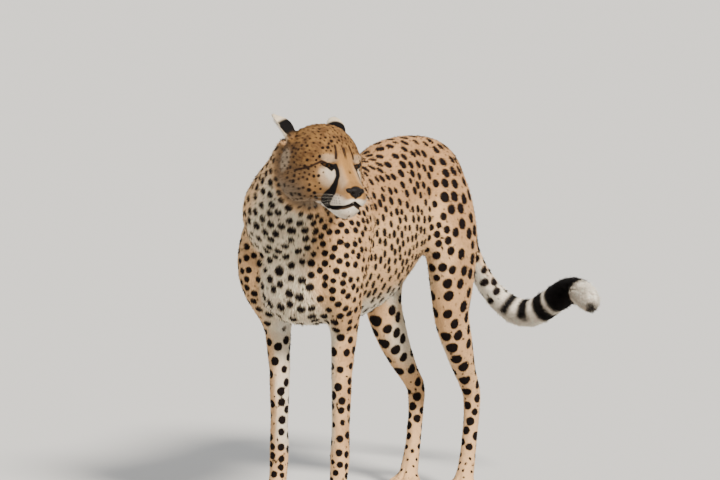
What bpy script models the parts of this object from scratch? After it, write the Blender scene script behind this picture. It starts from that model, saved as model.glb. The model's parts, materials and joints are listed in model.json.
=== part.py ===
"""A standing cheetah that looks to its left, at life size: one body modelled whole and parted with thin cuts.

The model faces -Y with +X on the animal's left, +Z up, in metres. Its origin is on the floor, in the middle
of its bounding box.
"""

import math

import bmesh
import bpy
from mathutils import Matrix, Vector

# Driving sizes, in metres
WITHERS_HEIGHT = 0.752  # top of the shoulder blades above the floor
RUMP_HEIGHT = 0.779  # highest point of the loin
CHEST_FLOOR = 0.419  # underside of the chest, between the elbows
SPINE_BEND = 0.12  # the spine's bow to the left: sideways metres for each square metre along it
SPINE_STRAIGHT_AT = 0.05  # the y where the spine runs straight back
FORE_STANCE = 0.075  # half the distance between the front feet
HIND_STANCE = 0.070

HEAD_SCALE = 1.17  # size of the head drawn below, whose lengths are in centimetres before this
HEAD_EYES_AT = Vector((0.195, -0.440, 0.777))  # midway between the eyes
HEAD_YAW = math.radians(67)  # turned to the animal's left
HEAD_PITCH = math.radians(7)  # nose down
HEAD_ROLL = math.radians(5)  # left ear down

CUT_GAP = 0.0004  # width of the thin cuts that part the body
VOXEL = 0.0036
BODY_TRIANGLES = 5020
RING_SIDES = 28
STEPS = 5  # rings made between two named stations

COAT = (0.62, 0.41, 0.22, 1.0)
DARK = (0.02, 0.015, 0.012, 1.0)
AMBER = (0.35, 0.16, 0.04, 1.0)
IVORY = (0.55, 0.48, 0.36, 1.0)


def clear_scene():
    for obj in list(bpy.data.objects):
        bpy.data.objects.remove(obj)


def material(name, colour, roughness):
    made = bpy.data.materials.new(name)
    made.use_nodes = True
    shader = made.node_tree.nodes["Principled BSDF"]
    shader.inputs["Base Color"].default_value = colour
    shader.inputs["Roughness"].default_value = roughness
    shader.inputs["Metallic"].default_value = 0.0
    return made


def smooth_rows(rows, steps=STEPS):
    """The rows of numbers with steps rows between each two, along a Catmull-Rom curve."""
    found = []
    for i in range(len(rows) - 1):
        before, a, b, after = rows[max(i - 1, 0)], rows[i], rows[i + 1], rows[min(i + 2, len(rows) - 1)]
        for k in range(steps):
            t = k / steps
            found.append([
                0.5 * (2 * q + (r - p) * t + (2 * p - 5 * q + 4 * r - s) * t * t
                       + (3 * q - p - 3 * r + s) * t ** 3)
                for p, q, r, s in zip(before, a, b, after)
            ])
    found.append(list(rows[-1]))
    return found


def add_rings(mesh, rings):
    """Skins closed rings of points with quads and caps both ends."""
    made = [[mesh.verts.new(point) for point in ring] for ring in rings]
    for lower, upper in zip(made, made[1:]):
        for i in range(len(lower)):
            j = (i + 1) % len(lower)
            mesh.faces.new((lower[i], lower[j], upper[j], upper[i]))
    mesh.faces.new(reversed(made[0]))
    mesh.faces.new(made[-1])


def section(half_width, top, bottom, squareness=1.0, sides=RING_SIDES):
    """(sideways, up) offsets of an egg-shaped section, from the level where it is widest."""
    points = []
    for i in range(sides):
        angle = 2 * math.pi * i / sides
        c, s = math.cos(angle), math.sin(angle)
        side = math.copysign(abs(c) ** squareness, c) * half_width
        rise = math.copysign(abs(s) ** squareness, s) * (top if s > 0 else bottom)
        points.append((side, rise))
    return points


def add_along(mesh, rows, across=Vector((1, 0, 0))):
    """A limb: rows of (x, y, z, radius across, radius fore and aft) along its middle."""
    rows = smooth_rows(rows)
    middles = [Vector(row[:3]) for row in rows]
    rings = []
    for i, row in enumerate(rows):
        along = (middles[min(i + 1, len(rows) - 1)] - middles[max(i - 1, 0)]).normalized()
        side = (across - along * across.dot(along)).normalized()
        front = along.cross(side)
        rings.append([middles[i] + side * a + front * b for a, b in section(row[3], row[4], row[4])])
    add_rings(mesh, rings)


def add_egg(mesh, middle, radii, turn=Matrix.Identity(3)):
    """A stretched ball of flesh."""
    place = Matrix.Translation(middle) @ turn.to_4x4() @ Matrix.Diagonal((*radii, 1))
    bmesh.ops.create_uvsphere(mesh, u_segments=24, v_segments=16, radius=1, matrix=place)


def spine_x(y):
    return SPINE_BEND * (y - SPINE_STRAIGHT_AT) ** 2


def add_trunk(mesh):
    """Chest, belly and rump. Each row: y, widest level, half width, top, bottom."""
    withers, rump, chest = WITHERS_HEIGHT, RUMP_HEIGHT, CHEST_FLOOR
    rows = [
        (-0.378, 0.520, 0.020, 0.545, 0.490),
        (-0.368, 0.520, 0.052, 0.590, 0.456),
        (-0.338, 0.525, 0.082, 0.645, 0.436),
        (-0.290, 0.540, 0.097, withers - 0.048, chest + 0.008),
        (-0.235, 0.550, 0.102, withers - 0.010, chest + 0.004),
        (-0.170, 0.555, 0.103, withers, chest),
        (-0.090, 0.560, 0.104, withers - 0.006, chest + 0.002),
        (-0.010, 0.570, 0.102, withers - 0.004, chest + 0.020),
        (0.060, 0.590, 0.095, rump - 0.004, chest + 0.052),
        (0.130, 0.610, 0.086, rump + 0.003, chest + 0.100),
        (0.185, 0.630, 0.080, rump + 0.002, chest + 0.132),
        (0.240, 0.640, 0.080, rump - 0.006, chest + 0.142),
        (0.280, 0.645, 0.070, rump - 0.022, chest + 0.148),
        (0.310, 0.645, 0.052, rump - 0.048, chest + 0.166),
        (0.325, 0.645, 0.024, rump - 0.084, chest + 0.192),
    ]
    rings = []
    for y, middle, half, top, bottom in smooth_rows(rows):
        rings.append([
            Vector((spine_x(y) + side, y, middle + rise))
            for side, rise in section(half, top - middle, middle - bottom, 0.93)
        ])
    add_rings(mesh, rings)


def add_front_leg(mesh, side, forward):
    """Shoulder blade to wrist. side is 1 on the left, -1 on the right; forward moves the foot."""
    foot = side * FORE_STANCE + 0.008
    lean = spine_x(-0.28)
    push = 0.0 if side > 0 else 0.022  # the shoulder on the outside of the neck's bend comes forward
    add_along(mesh, [
        (lean + side * 0.045, -0.150 - push, 0.722, 0.016, 0.036),
        (lean + side * 0.078, -0.208 - push, 0.660, 0.034, 0.060),
        (lean + side * 0.093, -0.264 - push, 0.595, 0.041, 0.066),
        (lean + side * 0.093, -0.290 - push * 0.5, 0.528, 0.040, 0.060),
        (lean + side * 0.084, -0.268, 0.465, 0.034, 0.052),
        (foot + side * 0.004, -0.250, 0.418, 0.0265, 0.037),
        (foot + side * 0.002, -0.250 - forward * 0.2, 0.370, 0.0225, 0.030),
        (foot, -0.251 - forward * 0.3, 0.325, 0.0205, 0.0265),
        (foot, -0.252 - forward * 0.5, 0.270, 0.0190, 0.0235),
        (foot, -0.254 - forward * 0.7, 0.215, 0.0180, 0.0215),
        (foot, -0.256 - forward * 0.8, 0.155, 0.0200, 0.0225),
        (foot, -0.261 - forward * 0.9, 0.110, 0.0190, 0.0190),
        (foot, -0.272 - forward, 0.065, 0.0215, 0.0200),
        (foot, -0.283 - forward, 0.036, 0.0220, 0.0200),
    ])
    add_egg(mesh, Vector((foot + side * 0.002, -0.224, 0.432)), (0.017, 0.021, 0.024))
    add_paw(mesh, Vector((foot, -0.290 - forward, 0.0)), 0.92)


def add_hind_leg(mesh, side, back):
    """Hip to heel and down to the toes. back moves the foot."""
    foot = side * HIND_STANCE
    add_along(mesh, [
        (spine_x(0.23) + side * 0.036, 0.230, 0.728, 0.030, 0.056),
        (spine_x(0.23) + side * 0.058, 0.214, 0.675, 0.040, 0.080),
        (side * 0.078, 0.204, 0.610, 0.043, 0.088),
        (side * 0.085, 0.203, 0.550, 0.043, 0.089),
        (side * 0.087, 0.202, 0.495, 0.039, 0.078),
        (side * 0.086, 0.206 + back * 0.2, 0.447, 0.036, 0.066),
        (side * 0.082, 0.216 + back * 0.4, 0.395, 0.031, 0.052),
        (side * 0.080, 0.246 + back * 0.6, 0.340, 0.028, 0.043),
        (side * 0.077, 0.276 + back * 0.8, 0.295, 0.024, 0.034),
        (side * 0.073, 0.306 + back, 0.255, 0.0195, 0.0265),
        (foot, 0.330 + back, 0.222, 0.0185, 0.0240),
        (foot, 0.332 + back, 0.180, 0.0175, 0.0190),
        (foot, 0.324 + back, 0.130, 0.0170, 0.0170),
        (foot, 0.313 + back, 0.080, 0.0180, 0.0170),
        (foot, 0.301 + back, 0.045, 0.0205, 0.0185),
        (foot, 0.291 + back, 0.030, 0.0210, 0.0185),
    ])
    add_egg(mesh, Vector((foot, 0.347 + back, 0.212)), (0.0115, 0.0125, 0.022))
    add_paw(mesh, Vector((foot, 0.285 + back, 0.0)), 0.86)


def add_paw(mesh, at, size):
    """Four toes in front of a broad pad, on the floor."""
    add_egg(mesh, at + Vector((0, 0.010, 0.024)) * size, Vector((0.034, 0.036, 0.024)) * size)
    for k, (across, ahead) in enumerate(((-0.027, 0.018), (-0.0095, 0.030), (0.0095, 0.030), (0.027, 0.018))):
        splay = Matrix.Rotation(-across * 5, 3, "Z")
        middle = at + Vector((across, -ahead, 0.0185)) * size
        add_egg(mesh, middle, Vector((0.0112, 0.027, 0.0185)) * size, splay)
        add_egg(mesh, at + Vector((across * 0.85, -ahead + 0.024, 0.029)) * size,
                Vector((0.0105, 0.024, 0.014)) * size, Matrix.Rotation(0.35, 3, "X"))


def head_turn():
    """Head axes as the columns forward, left, up."""
    ahead = Vector((math.sin(HEAD_YAW), -math.cos(HEAD_YAW), 0))
    left = Vector((math.cos(HEAD_YAW), math.sin(HEAD_YAW), 0))
    up = Vector((0, 0, 1))
    ahead, up = (ahead * math.cos(HEAD_PITCH) - up * math.sin(HEAD_PITCH),
                 ahead * math.sin(HEAD_PITCH) + up * math.cos(HEAD_PITCH))
    left, up = (left * math.cos(HEAD_ROLL) - up * math.sin(HEAD_ROLL),
                up * math.cos(HEAD_ROLL) + left * math.sin(HEAD_ROLL))
    return Matrix((ahead, left, up)).transposed()


def in_head(forward, left, up):
    """A point of the head, given in its own centimetres, in the model."""
    return HEAD_EYES_AT + head_turn() @ (Vector((forward, left, up)) * 0.01 * HEAD_SCALE)


def add_head_egg(mesh, forward, left, up, radii, turn=Matrix.Identity(3)):
    add_egg(mesh, in_head(forward, left, up), Vector(radii) * 0.01 * HEAD_SCALE, head_turn() @ turn)


def add_head(mesh):
    """Skull and muzzle, in centimetres from between the eyes.

    Rows: forward, widest level, half width, top, bottom.
    """
    rows = [
        (4.85, -4.6, 1.0, -3.8, -5.5),
        (4.65, -4.8, 1.9, -3.3, -6.4),
        (4.10, -5.1, 2.55, -2.8, -8.0),
        (3.35, -5.2, 2.9, -2.1, -8.8),
        (2.60, -5.1, 3.1, -1.4, -9.1),
        (1.80, -4.8, 3.35, -0.6, -9.0),
        (0.95, -4.1, 3.8, 0.5, -8.7),
        (0.0, -3.5, 4.5, 1.9, -8.3),
        (-1.5, -3.2, 5.6, 3.6, -7.8),
        (-3.5, -3.0, 6.5, 5.0, -7.4),
        (-6.0, -2.6, 6.6, 5.55, -7.0),
        (-8.5, -2.2, 6.3, 5.0, -6.8),
        (-10.5, -2.0, 5.5, 3.5, -6.6),
        (-12.2, -2.2, 4.0, 1.2, -6.0),
    ]
    rings = []
    for ahead, middle, half, top, bottom in smooth_rows(rows):
        rings.append([
            in_head(ahead, side, middle + rise)
            for side, rise in section(half, top - middle, middle - bottom, 0.90)
        ])
    add_rings(mesh, rings)
    for side in (-1, 1):
        add_head_egg(mesh, 3.15, side * 1.6, -5.4, (1.9, 1.65, 1.5))  # whisker pad
        add_head_egg(mesh, -1.0, side * 2.9, 0.95, (1.30, 1.8, 0.75))  # brow
        add_head_egg(mesh, -1.7, side * 3.7, -2.4, (2.1, 1.6, 1.2))  # cheekbone
        add_head_egg(mesh, -5.0, side * 4.9, -4.4, (4.0, 2.3, 3.1))  # jaw muscle
        add_ear(mesh, side)
    add_head_egg(mesh, 4.05, 0, -4.0, (0.9, 1.65, 1.05))  # nose pad
    add_head_egg(mesh, 2.6, 0, -8.0, (1.8, 1.9, 1.1))  # chin


def add_ear(mesh, side):
    """A short round ear laid back and out, its hollow to the rear and side."""
    base = Vector((-9.2, side * 4.9, 2.5))
    tip = Vector((-12.8, side * 6.5, 5.7))
    rows = [
        (0.0, 1.85, 1.2),
        (0.3, 1.90, 1.0),
        (0.55, 1.80, 0.8),
        (0.78, 1.45, 0.6),
        (0.94, 0.90, 0.42),
        (1.0, 0.4, 0.25),
    ]
    along = (tip - base).normalized()
    back = Vector((0.35, side * -0.35, 0.85))  # where the back of the ear looks
    back = (back - along * along.dot(back)).normalized()
    across = along.cross(back)
    rings = []
    for share, half, thick in smooth_rows(rows, 4):
        middle = base.lerp(tip, share)
        ring = []
        for a, b in section(half, thick, thick, 1.0, 20):
            cup = 0.75 * math.sin(math.pi * min(share * 1.1, 1)) * (1 - (a / half) ** 2)
            point = middle + across * a + back * (b + cup)
            ring.append(in_head(*point))
        rings.append(ring if side > 0 else list(reversed(ring)))
    add_rings(mesh, rings)


def add_neck(mesh):
    """From between the shoulder blades to the back of the skull."""
    add_along(mesh, [
        (0.004, -0.190, 0.610, 0.084, 0.110),
        (0.004, -0.272, 0.640, 0.100, 0.106),
        (0.004, -0.324, 0.660, 0.099, 0.098),
        (0.026, -0.352, 0.705, 0.082, 0.084),
        (0.054, -0.372, 0.750, 0.065, 0.070),
        (0.080, -0.385, 0.785, 0.064, 0.064),
        (0.105, -0.392, 0.805, 0.050, 0.050),
    ])


def tail_rows():
    """The tail hangs from the rump, then swings out to the left and forward at its tip."""
    return [
        (0.008, 0.290, 0.705, 0.034, 0.040),
        (0.010, 0.338, 0.660, 0.0265, 0.028),
        (0.013, 0.378, 0.590, 0.0225, 0.0230),
        (0.018, 0.412, 0.510, 0.0210, 0.0215),
        (0.030, 0.452, 0.445, 0.0225, 0.0230),
        (0.058, 0.474, 0.402, 0.0260, 0.0265),
        (0.098, 0.484, 0.378, 0.0300, 0.0305),
        (0.140, 0.482, 0.382, 0.0305, 0.0310),
        (0.185, 0.474, 0.408, 0.0300, 0.0305),
        (0.226, 0.460, 0.432, 0.0300, 0.0300),
        (0.264, 0.440, 0.437, 0.0290, 0.0290),
        (0.300, 0.412, 0.428, 0.0270, 0.0270),
        (0.322, 0.388, 0.416, 0.0190, 0.0190),
        (0.331, 0.377, 0.411, 0.0080, 0.0080),
    ]


def add_tail(mesh):
    add_along(mesh, tail_rows(), Vector((0.5, -0.5, 0.7)))


def evaluated(obj):
    """A new mesh with the object's modifiers applied."""
    bpy.context.view_layer.update()
    graph = bpy.context.evaluated_depsgraph_get()
    return bpy.data.meshes.new_from_object(obj.evaluated_get(graph))


def ramp(value, low, high):
    """0 at low and 1 at high, eased."""
    t = min(max((value - low) / (high - low), 0.0), 1.0)
    return t * t * (3 - 2 * t)


def weigh(obj, name, rule):
    """A vertex group whose weights come from each point's place."""
    group = obj.vertex_groups.new(name=name)
    for vertex in obj.data.vertices:
        group.add([vertex.index], rule(vertex.co), "REPLACE")


def broad(place):
    """1 on the trunk and shoulders, whose forms run into each other, and 0 on head, feet and tail."""
    off_head = ramp((place - in_head(-3, 0, -1)).length, 0.10, 0.17)
    return off_head * ramp(place.z, 0.37, 0.47) * (1 - ramp(place.y, 0.335, 0.375))


def plain(place):
    """How far a place may be simplified: least on the face, then the feet."""
    off_head = ramp((place - in_head(-2, 0, -1)).length, 0.08, 0.17)
    return 0.74 + 0.04 * off_head + 0.06 * off_head * ramp(place.z, 0.10, 0.18)


def whole_body():
    """Every form grown into one closed skin, with flat soles on the floor."""
    mesh = bmesh.new()
    add_trunk(mesh)
    add_front_leg(mesh, 1, 0.006)
    add_front_leg(mesh, -1, -0.006)
    add_hind_leg(mesh, 1, -0.010)
    add_hind_leg(mesh, -1, -0.004)
    add_neck(mesh)
    add_head(mesh)
    add_tail(mesh)
    bmesh.ops.recalc_face_normals(mesh, faces=mesh.faces)
    data = bpy.data.meshes.new("forms")
    mesh.to_mesh(data)
    mesh.free()
    body = bpy.data.objects.new("whole", data)
    bpy.context.scene.collection.objects.link(body)
    grow = body.modifiers.new("grow", "REMESH")
    grow.mode = "VOXEL"
    grow.voxel_size = VOXEL
    body.data = evaluated(body)
    body.modifiers.clear()
    weigh(body, "broad", broad)
    weigh(body, "plain", plain)
    ease = body.modifiers.new("ease", "SMOOTH")
    ease.factor = 0.5
    ease.iterations = 4
    blend = body.modifiers.new("blend", "SMOOTH")
    blend.factor = 0.5
    blend.iterations = 40
    blend.vertex_group = "broad"
    thin = body.modifiers.new("thin", "DECIMATE")
    thin.ratio = BODY_TRIANGLES / (2 * len(body.data.polygons))
    thin.vertex_group = "plain"
    thin.vertex_group_factor = 1.0
    body.data = evaluated(body)
    body.modifiers.clear()
    body.vertex_groups.clear()
    flatten_soles(body.data)
    return body


def flatten_soles(data, level=0.0030):
    """Cuts the feet off level with the floor and closes the cuts."""
    mesh = bmesh.new()
    mesh.from_mesh(data)
    everything = mesh.verts[:] + mesh.edges[:] + mesh.faces[:]
    cut = bmesh.ops.bisect_plane(mesh, geom=everything, dist=1e-6, plane_co=(0, 0, level),
                                 plane_no=(0, 0, -1), clear_outer=True)
    rim = [item for item in cut["geom_cut"] if isinstance(item, bmesh.types.BMEdge)]
    bmesh.ops.holes_fill(mesh, edges=rim, sides=0)
    bmesh.ops.triangulate(mesh, faces=mesh.faces)
    mesh.to_mesh(data)
    mesh.free()


def box_cutter(middle, axes, size):
    """A box with its middle, its axes as columns, and its full sizes, as a hidden cutter."""
    mesh = bmesh.new()
    place = Matrix.Translation(middle) @ axes.to_4x4() @ Matrix.Diagonal((*size, 1))
    bmesh.ops.create_cube(mesh, size=1, matrix=place)
    bmesh.ops.recalc_face_normals(mesh, faces=mesh.faces)
    data = bpy.data.meshes.new("cutter")
    mesh.to_mesh(data)
    mesh.free()
    cutter = bpy.data.objects.new("cutter", data)
    cutter.hide_render = True
    cutter.display_type = "WIRE"
    bpy.context.scene.collection.objects.link(cutter)
    return cutter


def boolean(obj, cutter, operation):
    step = obj.modifiers.new("cut", "BOOLEAN")
    step.operation = operation
    step.solver = "EXACT"
    step.object = cutter
    made = evaluated(obj)
    obj.modifiers.clear()
    return made


def axes_from(outward, across):
    """Axes as columns: a side near the one asked for, the third, and outward."""
    outward = Vector(outward).normalized()
    side = Vector(across)
    side = (side - outward * side.dot(outward)).normalized()
    return Matrix((side, outward.cross(side), outward)).transposed()


def take(body, name, at, outward, width, depth, across=(1, 0, 0)):
    """Parts off what lies past a plane, within a box that wide and deep, as a new object."""
    axes = axes_from(outward, across)
    middle = Vector(at) + axes.col[2] * (depth / 2)
    taker = box_cutter(middle, axes, (*width, depth))
    leaver = box_cutter(middle, axes, [size + 2 * CUT_GAP for size in (*width, depth)])
    piece = bpy.data.objects.new(name, boolean(body, taker, "INTERSECT"))
    bpy.context.scene.collection.objects.link(piece)
    body.data = boolean(body, leaver, "DIFFERENCE")
    for cutter in (taker, leaver):
        bpy.data.objects.remove(cutter)
    return piece


def slit(body, at, outward, width, across=(1, 0, 0)):
    """A thin cut across the body."""
    cutter = box_cutter(Vector(at), axes_from(outward, across), (*width, CUT_GAP))
    body.data = boolean(body, cutter, "DIFFERENCE")
    bpy.data.objects.remove(cutter)


def part_body(body):
    """Cuts the whole body into its named parts."""
    forward, left, up = (head_turn().col[i] for i in range(3))
    pieces = []
    for side in (1, -1):
        root = in_head(-10.7, side * 5.55, 3.85)
        rise = head_turn() @ Vector((-0.71, side * 0.32, 0.63))
        across = head_turn() @ Vector((0.51, side * 0.85, 0.14))
        slit(body, root, rise, (0.070, 0.056), across)
    pieces.append(take(body, "nose", in_head(4.25, 0, -4.1), forward, (0.042, 0.027), 0.03, left))
    pieces.append(take(body, "lower_jaw", in_head(3.6, 0, -6.85), -up, (0.090, 0.068), 0.04, left))
    for side, word in ((1, "left"), (-1, "right")):
        pieces.append(take(body, "shoulder_" + word, (side * 0.070, -0.282, 0.520), (side * 0.95, 0, -0.3),
                           (0.176, 0.230), 0.09, (0, 1, 0)))
        pieces.append(take(body, "thigh_" + word, (side * 0.048, 0.208, 0.585), (side * 0.86, 0, -0.5),
                           (0.225, 0.280), 0.20, (0, 1, 0)))
        slit(body, (side * FORE_STANCE + 0.008, -0.260, 0.175), (0, 0, 1), (0.08, 0.10))
        slit(body, (side * 0.073, 0.320, 0.250), (0, -0.9, 1), (0.09, 0.11))
    slit(body, (0.010, -0.290, 0.672), (0.05, -0.70, 0.71), (0.32, 0.40))
    slit(body, in_head(-11.0, 0, -2.3), forward * 0.75 + up * 0.62, (0.24, 0.30), left)
    slit(body, (0, 0.040, 0.60), (0, 1, 0), (0.30, 0.50))
    rows = tail_rows()
    for i in (2, 5, 8):
        here, after = Vector(rows[i][:3]), Vector(rows[i + 1][:3])
        slit(body, here, after - here, (0.10, 0.10))
    return pieces + loose_parts(body)


def loose_parts(body):
    """Each separate piece of a cut mesh as its own object, named by the marker point nearest to it."""
    rows = tail_rows()
    markers = {
        "head": in_head(-4, 0, -1),
        "neck": Vector((0.04, -0.350, 0.69)),
        "chest": Vector((0.01, -0.15, 0.60)),
        "hindquarters": Vector((0.01, 0.17, 0.67)),
        "tail_base": Vector(rows[3][:3]),
        "tail_middle": Vector(rows[7][:3]),
        "tail_tip": Vector(rows[10][:3]),
    }
    for side, word in ((1, "left"), (-1, "right")):
        markers["ear_" + word] = in_head(-11.4, side * 5.8, 4.8)
        markers["forearm_" + word] = Vector((side * FORE_STANCE + 0.008, -0.255, 0.29))
        markers["forefoot_" + word] = Vector((side * FORE_STANCE + 0.008, -0.275, 0.08))
        markers["shank_" + word] = Vector((side * 0.078, 0.265, 0.33))
        markers["hindfoot_" + word] = Vector((side * HIND_STANCE, 0.315, 0.13))
    mesh = bmesh.new()
    mesh.from_mesh(body.data)
    mesh.verts.ensure_lookup_table()
    seen = set()
    pieces = []
    for start in mesh.verts:
        if start.index in seen:
            continue
        group, waiting = set(), [start]
        while waiting:
            vertex = waiting.pop()
            if vertex.index not in group:
                group.add(vertex.index)
                waiting += [edge.other_vert(vertex) for edge in vertex.link_edges]
        seen |= group
        low = Vector(min(mesh.verts[i].co[k] for i in group) for k in range(3))
        high = Vector(max(mesh.verts[i].co[k] for i in group) for k in range(3))
        middle = (low + high) / 2
        name = min(markers, key=lambda word: (markers[word] - middle).length)
        piece = mesh.copy()
        piece.verts.ensure_lookup_table()
        away = [piece.verts[i] for i in range(len(piece.verts)) if i not in group]
        bmesh.ops.delete(piece, geom=away, context="VERTS")
        data = bpy.data.meshes.new(name)
        piece.to_mesh(data)
        piece.free()
        made = bpy.data.objects.new(name, data)
        bpy.context.scene.collection.objects.link(made)
        pieces.append(made)
    mesh.free()
    bpy.data.objects.remove(body)
    return pieces


def ball(name, middle, radii, segments, rings):
    """An ellipsoid lined up with the head, as an object of its own."""
    mesh = bmesh.new()
    place = Matrix.Translation(middle) @ head_turn().to_4x4() @ Matrix.Diagonal((*radii, 1))
    bmesh.ops.create_uvsphere(mesh, u_segments=segments, v_segments=rings, radius=1, matrix=place)
    data = bpy.data.meshes.new(name)
    mesh.to_mesh(data)
    mesh.free()
    made = bpy.data.objects.new(name, data)
    bpy.context.scene.collection.objects.link(made)
    return made


def add_eyes(head):
    """Two eyeballs, each in a socket that clears it, open to the front between the lids."""
    made = []
    for side, word in ((1, "left"), (-1, "right")):
        middle = in_head(-1.35, side * 2.95, -0.40)
        radius = 0.0140 * HEAD_SCALE
        made.append(ball("eye_" + word, middle, (radius, radius, radius), 16, 10))
        clear = radius + CUT_GAP
        socket = ball("socket", middle, (clear, clear, clear), 16, 10)
        lids = ball("lids", in_head(0.0, side * 3.15, -0.40), (0.0170, 0.0175, 0.0100), 16, 10)
        for cutter in (socket, lids):
            head.data = boolean(head, cutter, "DIFFERENCE")
            bpy.data.objects.remove(cutter)
    return made


def stand_on_origin(objects):
    """Moves every mesh so that the origin is under the middle of the bounding box."""
    corners = [vertex.co for obj in objects for vertex in obj.data.vertices]
    low = Vector(min(c[i] for c in corners) for i in range(3))
    high = Vector(max(c[i] for c in corners) for i in range(3))
    shift = Vector((-(low.x + high.x) / 2, -(low.y + high.y) / 2, -low.z))
    for obj in objects:
        obj.data.transform(Matrix.Translation(shift))


def main():
    clear_scene()
    body = whole_body()
    parts = part_body(body)
    head = next(obj for obj in parts if obj.name == "head")
    eyes = add_eyes(head)
    stand_on_origin(parts + eyes)
    coat = material("coat", COAT, 0.85)
    leather = material("nose_leather", DARK, 0.45)
    eye = material("eye", AMBER, 0.08)
    for obj in parts + eyes:
        obj.data.materials.clear()
        finish = eye if obj.name.startswith("eye_") else leather if obj.name == "nose" else coat
        obj.data.materials.append(finish)
        obj.data.shade_smooth()
        obj.data.set_sharp_from_angle(angle=math.radians(50))


main()
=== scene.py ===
# Cheetah, standing and looking to its left: the dressed model for renders and export
import json
import math

import bmesh
import bpy
import numpy as np
from mathutils import Matrix, Vector, noise
from mathutils.kdtree import KDTree

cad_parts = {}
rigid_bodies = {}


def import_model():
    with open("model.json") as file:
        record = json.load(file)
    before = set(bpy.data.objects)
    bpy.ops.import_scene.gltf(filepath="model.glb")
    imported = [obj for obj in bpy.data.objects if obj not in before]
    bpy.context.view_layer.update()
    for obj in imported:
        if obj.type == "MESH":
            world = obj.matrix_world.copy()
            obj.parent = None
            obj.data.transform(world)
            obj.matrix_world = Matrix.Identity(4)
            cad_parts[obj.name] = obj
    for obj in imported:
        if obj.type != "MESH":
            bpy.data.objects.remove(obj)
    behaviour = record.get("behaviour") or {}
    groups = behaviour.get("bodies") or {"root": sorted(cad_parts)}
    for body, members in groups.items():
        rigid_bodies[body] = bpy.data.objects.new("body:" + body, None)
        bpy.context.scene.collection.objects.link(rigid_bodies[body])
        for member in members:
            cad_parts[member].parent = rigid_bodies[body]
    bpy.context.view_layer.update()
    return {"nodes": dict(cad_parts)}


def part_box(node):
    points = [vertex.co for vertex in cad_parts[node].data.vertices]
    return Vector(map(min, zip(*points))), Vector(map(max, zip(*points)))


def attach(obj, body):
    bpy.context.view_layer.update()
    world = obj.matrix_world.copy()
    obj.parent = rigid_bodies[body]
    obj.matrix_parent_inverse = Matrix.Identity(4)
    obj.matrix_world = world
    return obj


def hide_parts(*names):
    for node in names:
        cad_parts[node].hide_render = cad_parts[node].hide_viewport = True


for item in list(bpy.data.objects):  # a new file's cube, lamp and camera
    bpy.data.objects.remove(item)
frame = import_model()
rng = np.random.default_rng(11)
scene = bpy.context.scene


# small helpers

def selectOnly(*pieces):
    # Selects these alone, and makes the first the active one
    bpy.ops.object.select_all(action="DESELECT")
    for piece in pieces:
        piece.select_set(True)
    if pieces:
        bpy.context.view_layer.objects.active = pieces[0]


def addModifier(piece, kind, **values):
    modifier = piece.modifiers.new(kind.lower(), kind)
    for key, value in values.items():
        setattr(modifier, key, value)


def applyModifiers(piece):
    selectOnly(piece)
    for name in [modifier.name for modifier in piece.modifiers]:
        bpy.ops.object.modifier_apply(modifier=name)


def newPiece(name, mesh):
    piece = bpy.data.objects.new(name, mesh)
    scene.collection.objects.link(piece)
    return piece


def pieceFrom(name, shape):
    # Makes a piece of a bmesh, with its faces turned outwards
    bmesh.ops.recalc_face_normals(shape, faces=shape.faces)
    mesh = bpy.data.meshes.new(name)
    shape.to_mesh(mesh)
    shape.free()
    return newPiece(name, mesh)


def readOut(items, key, width, kind=np.float32):
    found = np.empty(len(items) * width, kind)
    items.foreach_get(key, found)
    return found.reshape(-1, width)


def pointsOf(mesh):
    return readOut(mesh.vertices, "co", 3).astype(np.float64)


def normalsOf(mesh):
    return readOut(mesh.vertex_normals, "vector", 3).astype(np.float64)


def setPoints(mesh, points):
    mesh.vertices.foreach_set("co", points.astype(np.float32).ravel())
    mesh.update()


def addValues(mesh, name, values):
    # A number or a colour for each vertex
    kind, key = ("FLOAT", "value") if values.ndim == 1 else ("FLOAT_COLOR", "color")
    if values.ndim == 2:
        values = np.column_stack([values, np.ones(len(values))])
    mesh.attributes.new(name, kind, "POINT").data.foreach_set(key, values.astype(np.float32).ravel())


def ease(value, low, high):
    t = np.clip((value - low) / (high - low), 0.0, 1.0)
    return t * t * (3 - 2 * t)


def mix(under, over, share):
    return under + (over - under) * share[:, None]


def lengthsOf(vectors):
    return np.linalg.norm(vectors, axis=1)


def unit(vectors):
    return vectors / np.maximum(np.linalg.norm(vectors, axis=-1, keepdims=True), 1e-9)


def ripple(points, size):
    # Smooth noise from -1 to 1 with features about this many metres across
    return np.array([noise.noise(place) for place in (points / size).tolist()])


def nearPath(places, path):
    # Distance to a path, and how far along it that is
    corners = np.array(path, float)
    best, along, gone = np.full(len(places), 1e9), np.zeros(len(places)), 0.0
    for a, b in zip(corners, corners[1:]):
        step = b - a
        t = np.clip((places - a) @ step / (step @ step), 0, 1)
        far = lengthsOf(places - a - t[:, None] * step)
        nearer = far < best
        best[nearer], along[nearer] = far[nearer], (gone + t * np.linalg.norm(step))[nearer]
        gone += np.linalg.norm(step)
    return best, along


def linear(hexColour):
    found = []
    for k in (0, 2, 4):
        value = int(hexColour[k:k + 2], 16) / 255
        found.append(value / 12.92 if value <= 0.04045 else ((value + 0.055) / 1.055) ** 2.4)
    return (*found, 1.0)


def colour(hexColour):
    return np.array(linear(hexColour)[:3])


# where the head is: its own axes, with lengths in head centimetres from between the eyes

head = {"unit": 0.0117, "yaw": 67, "pitch": 7, "roll": 5, "eye": (-1.35, 2.95, -0.40), "eyeRadius": 1.40}
drawnAt = Vector((0.195, -0.440, 0.777))  # the head's origin before the model was centred on the floor


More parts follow.
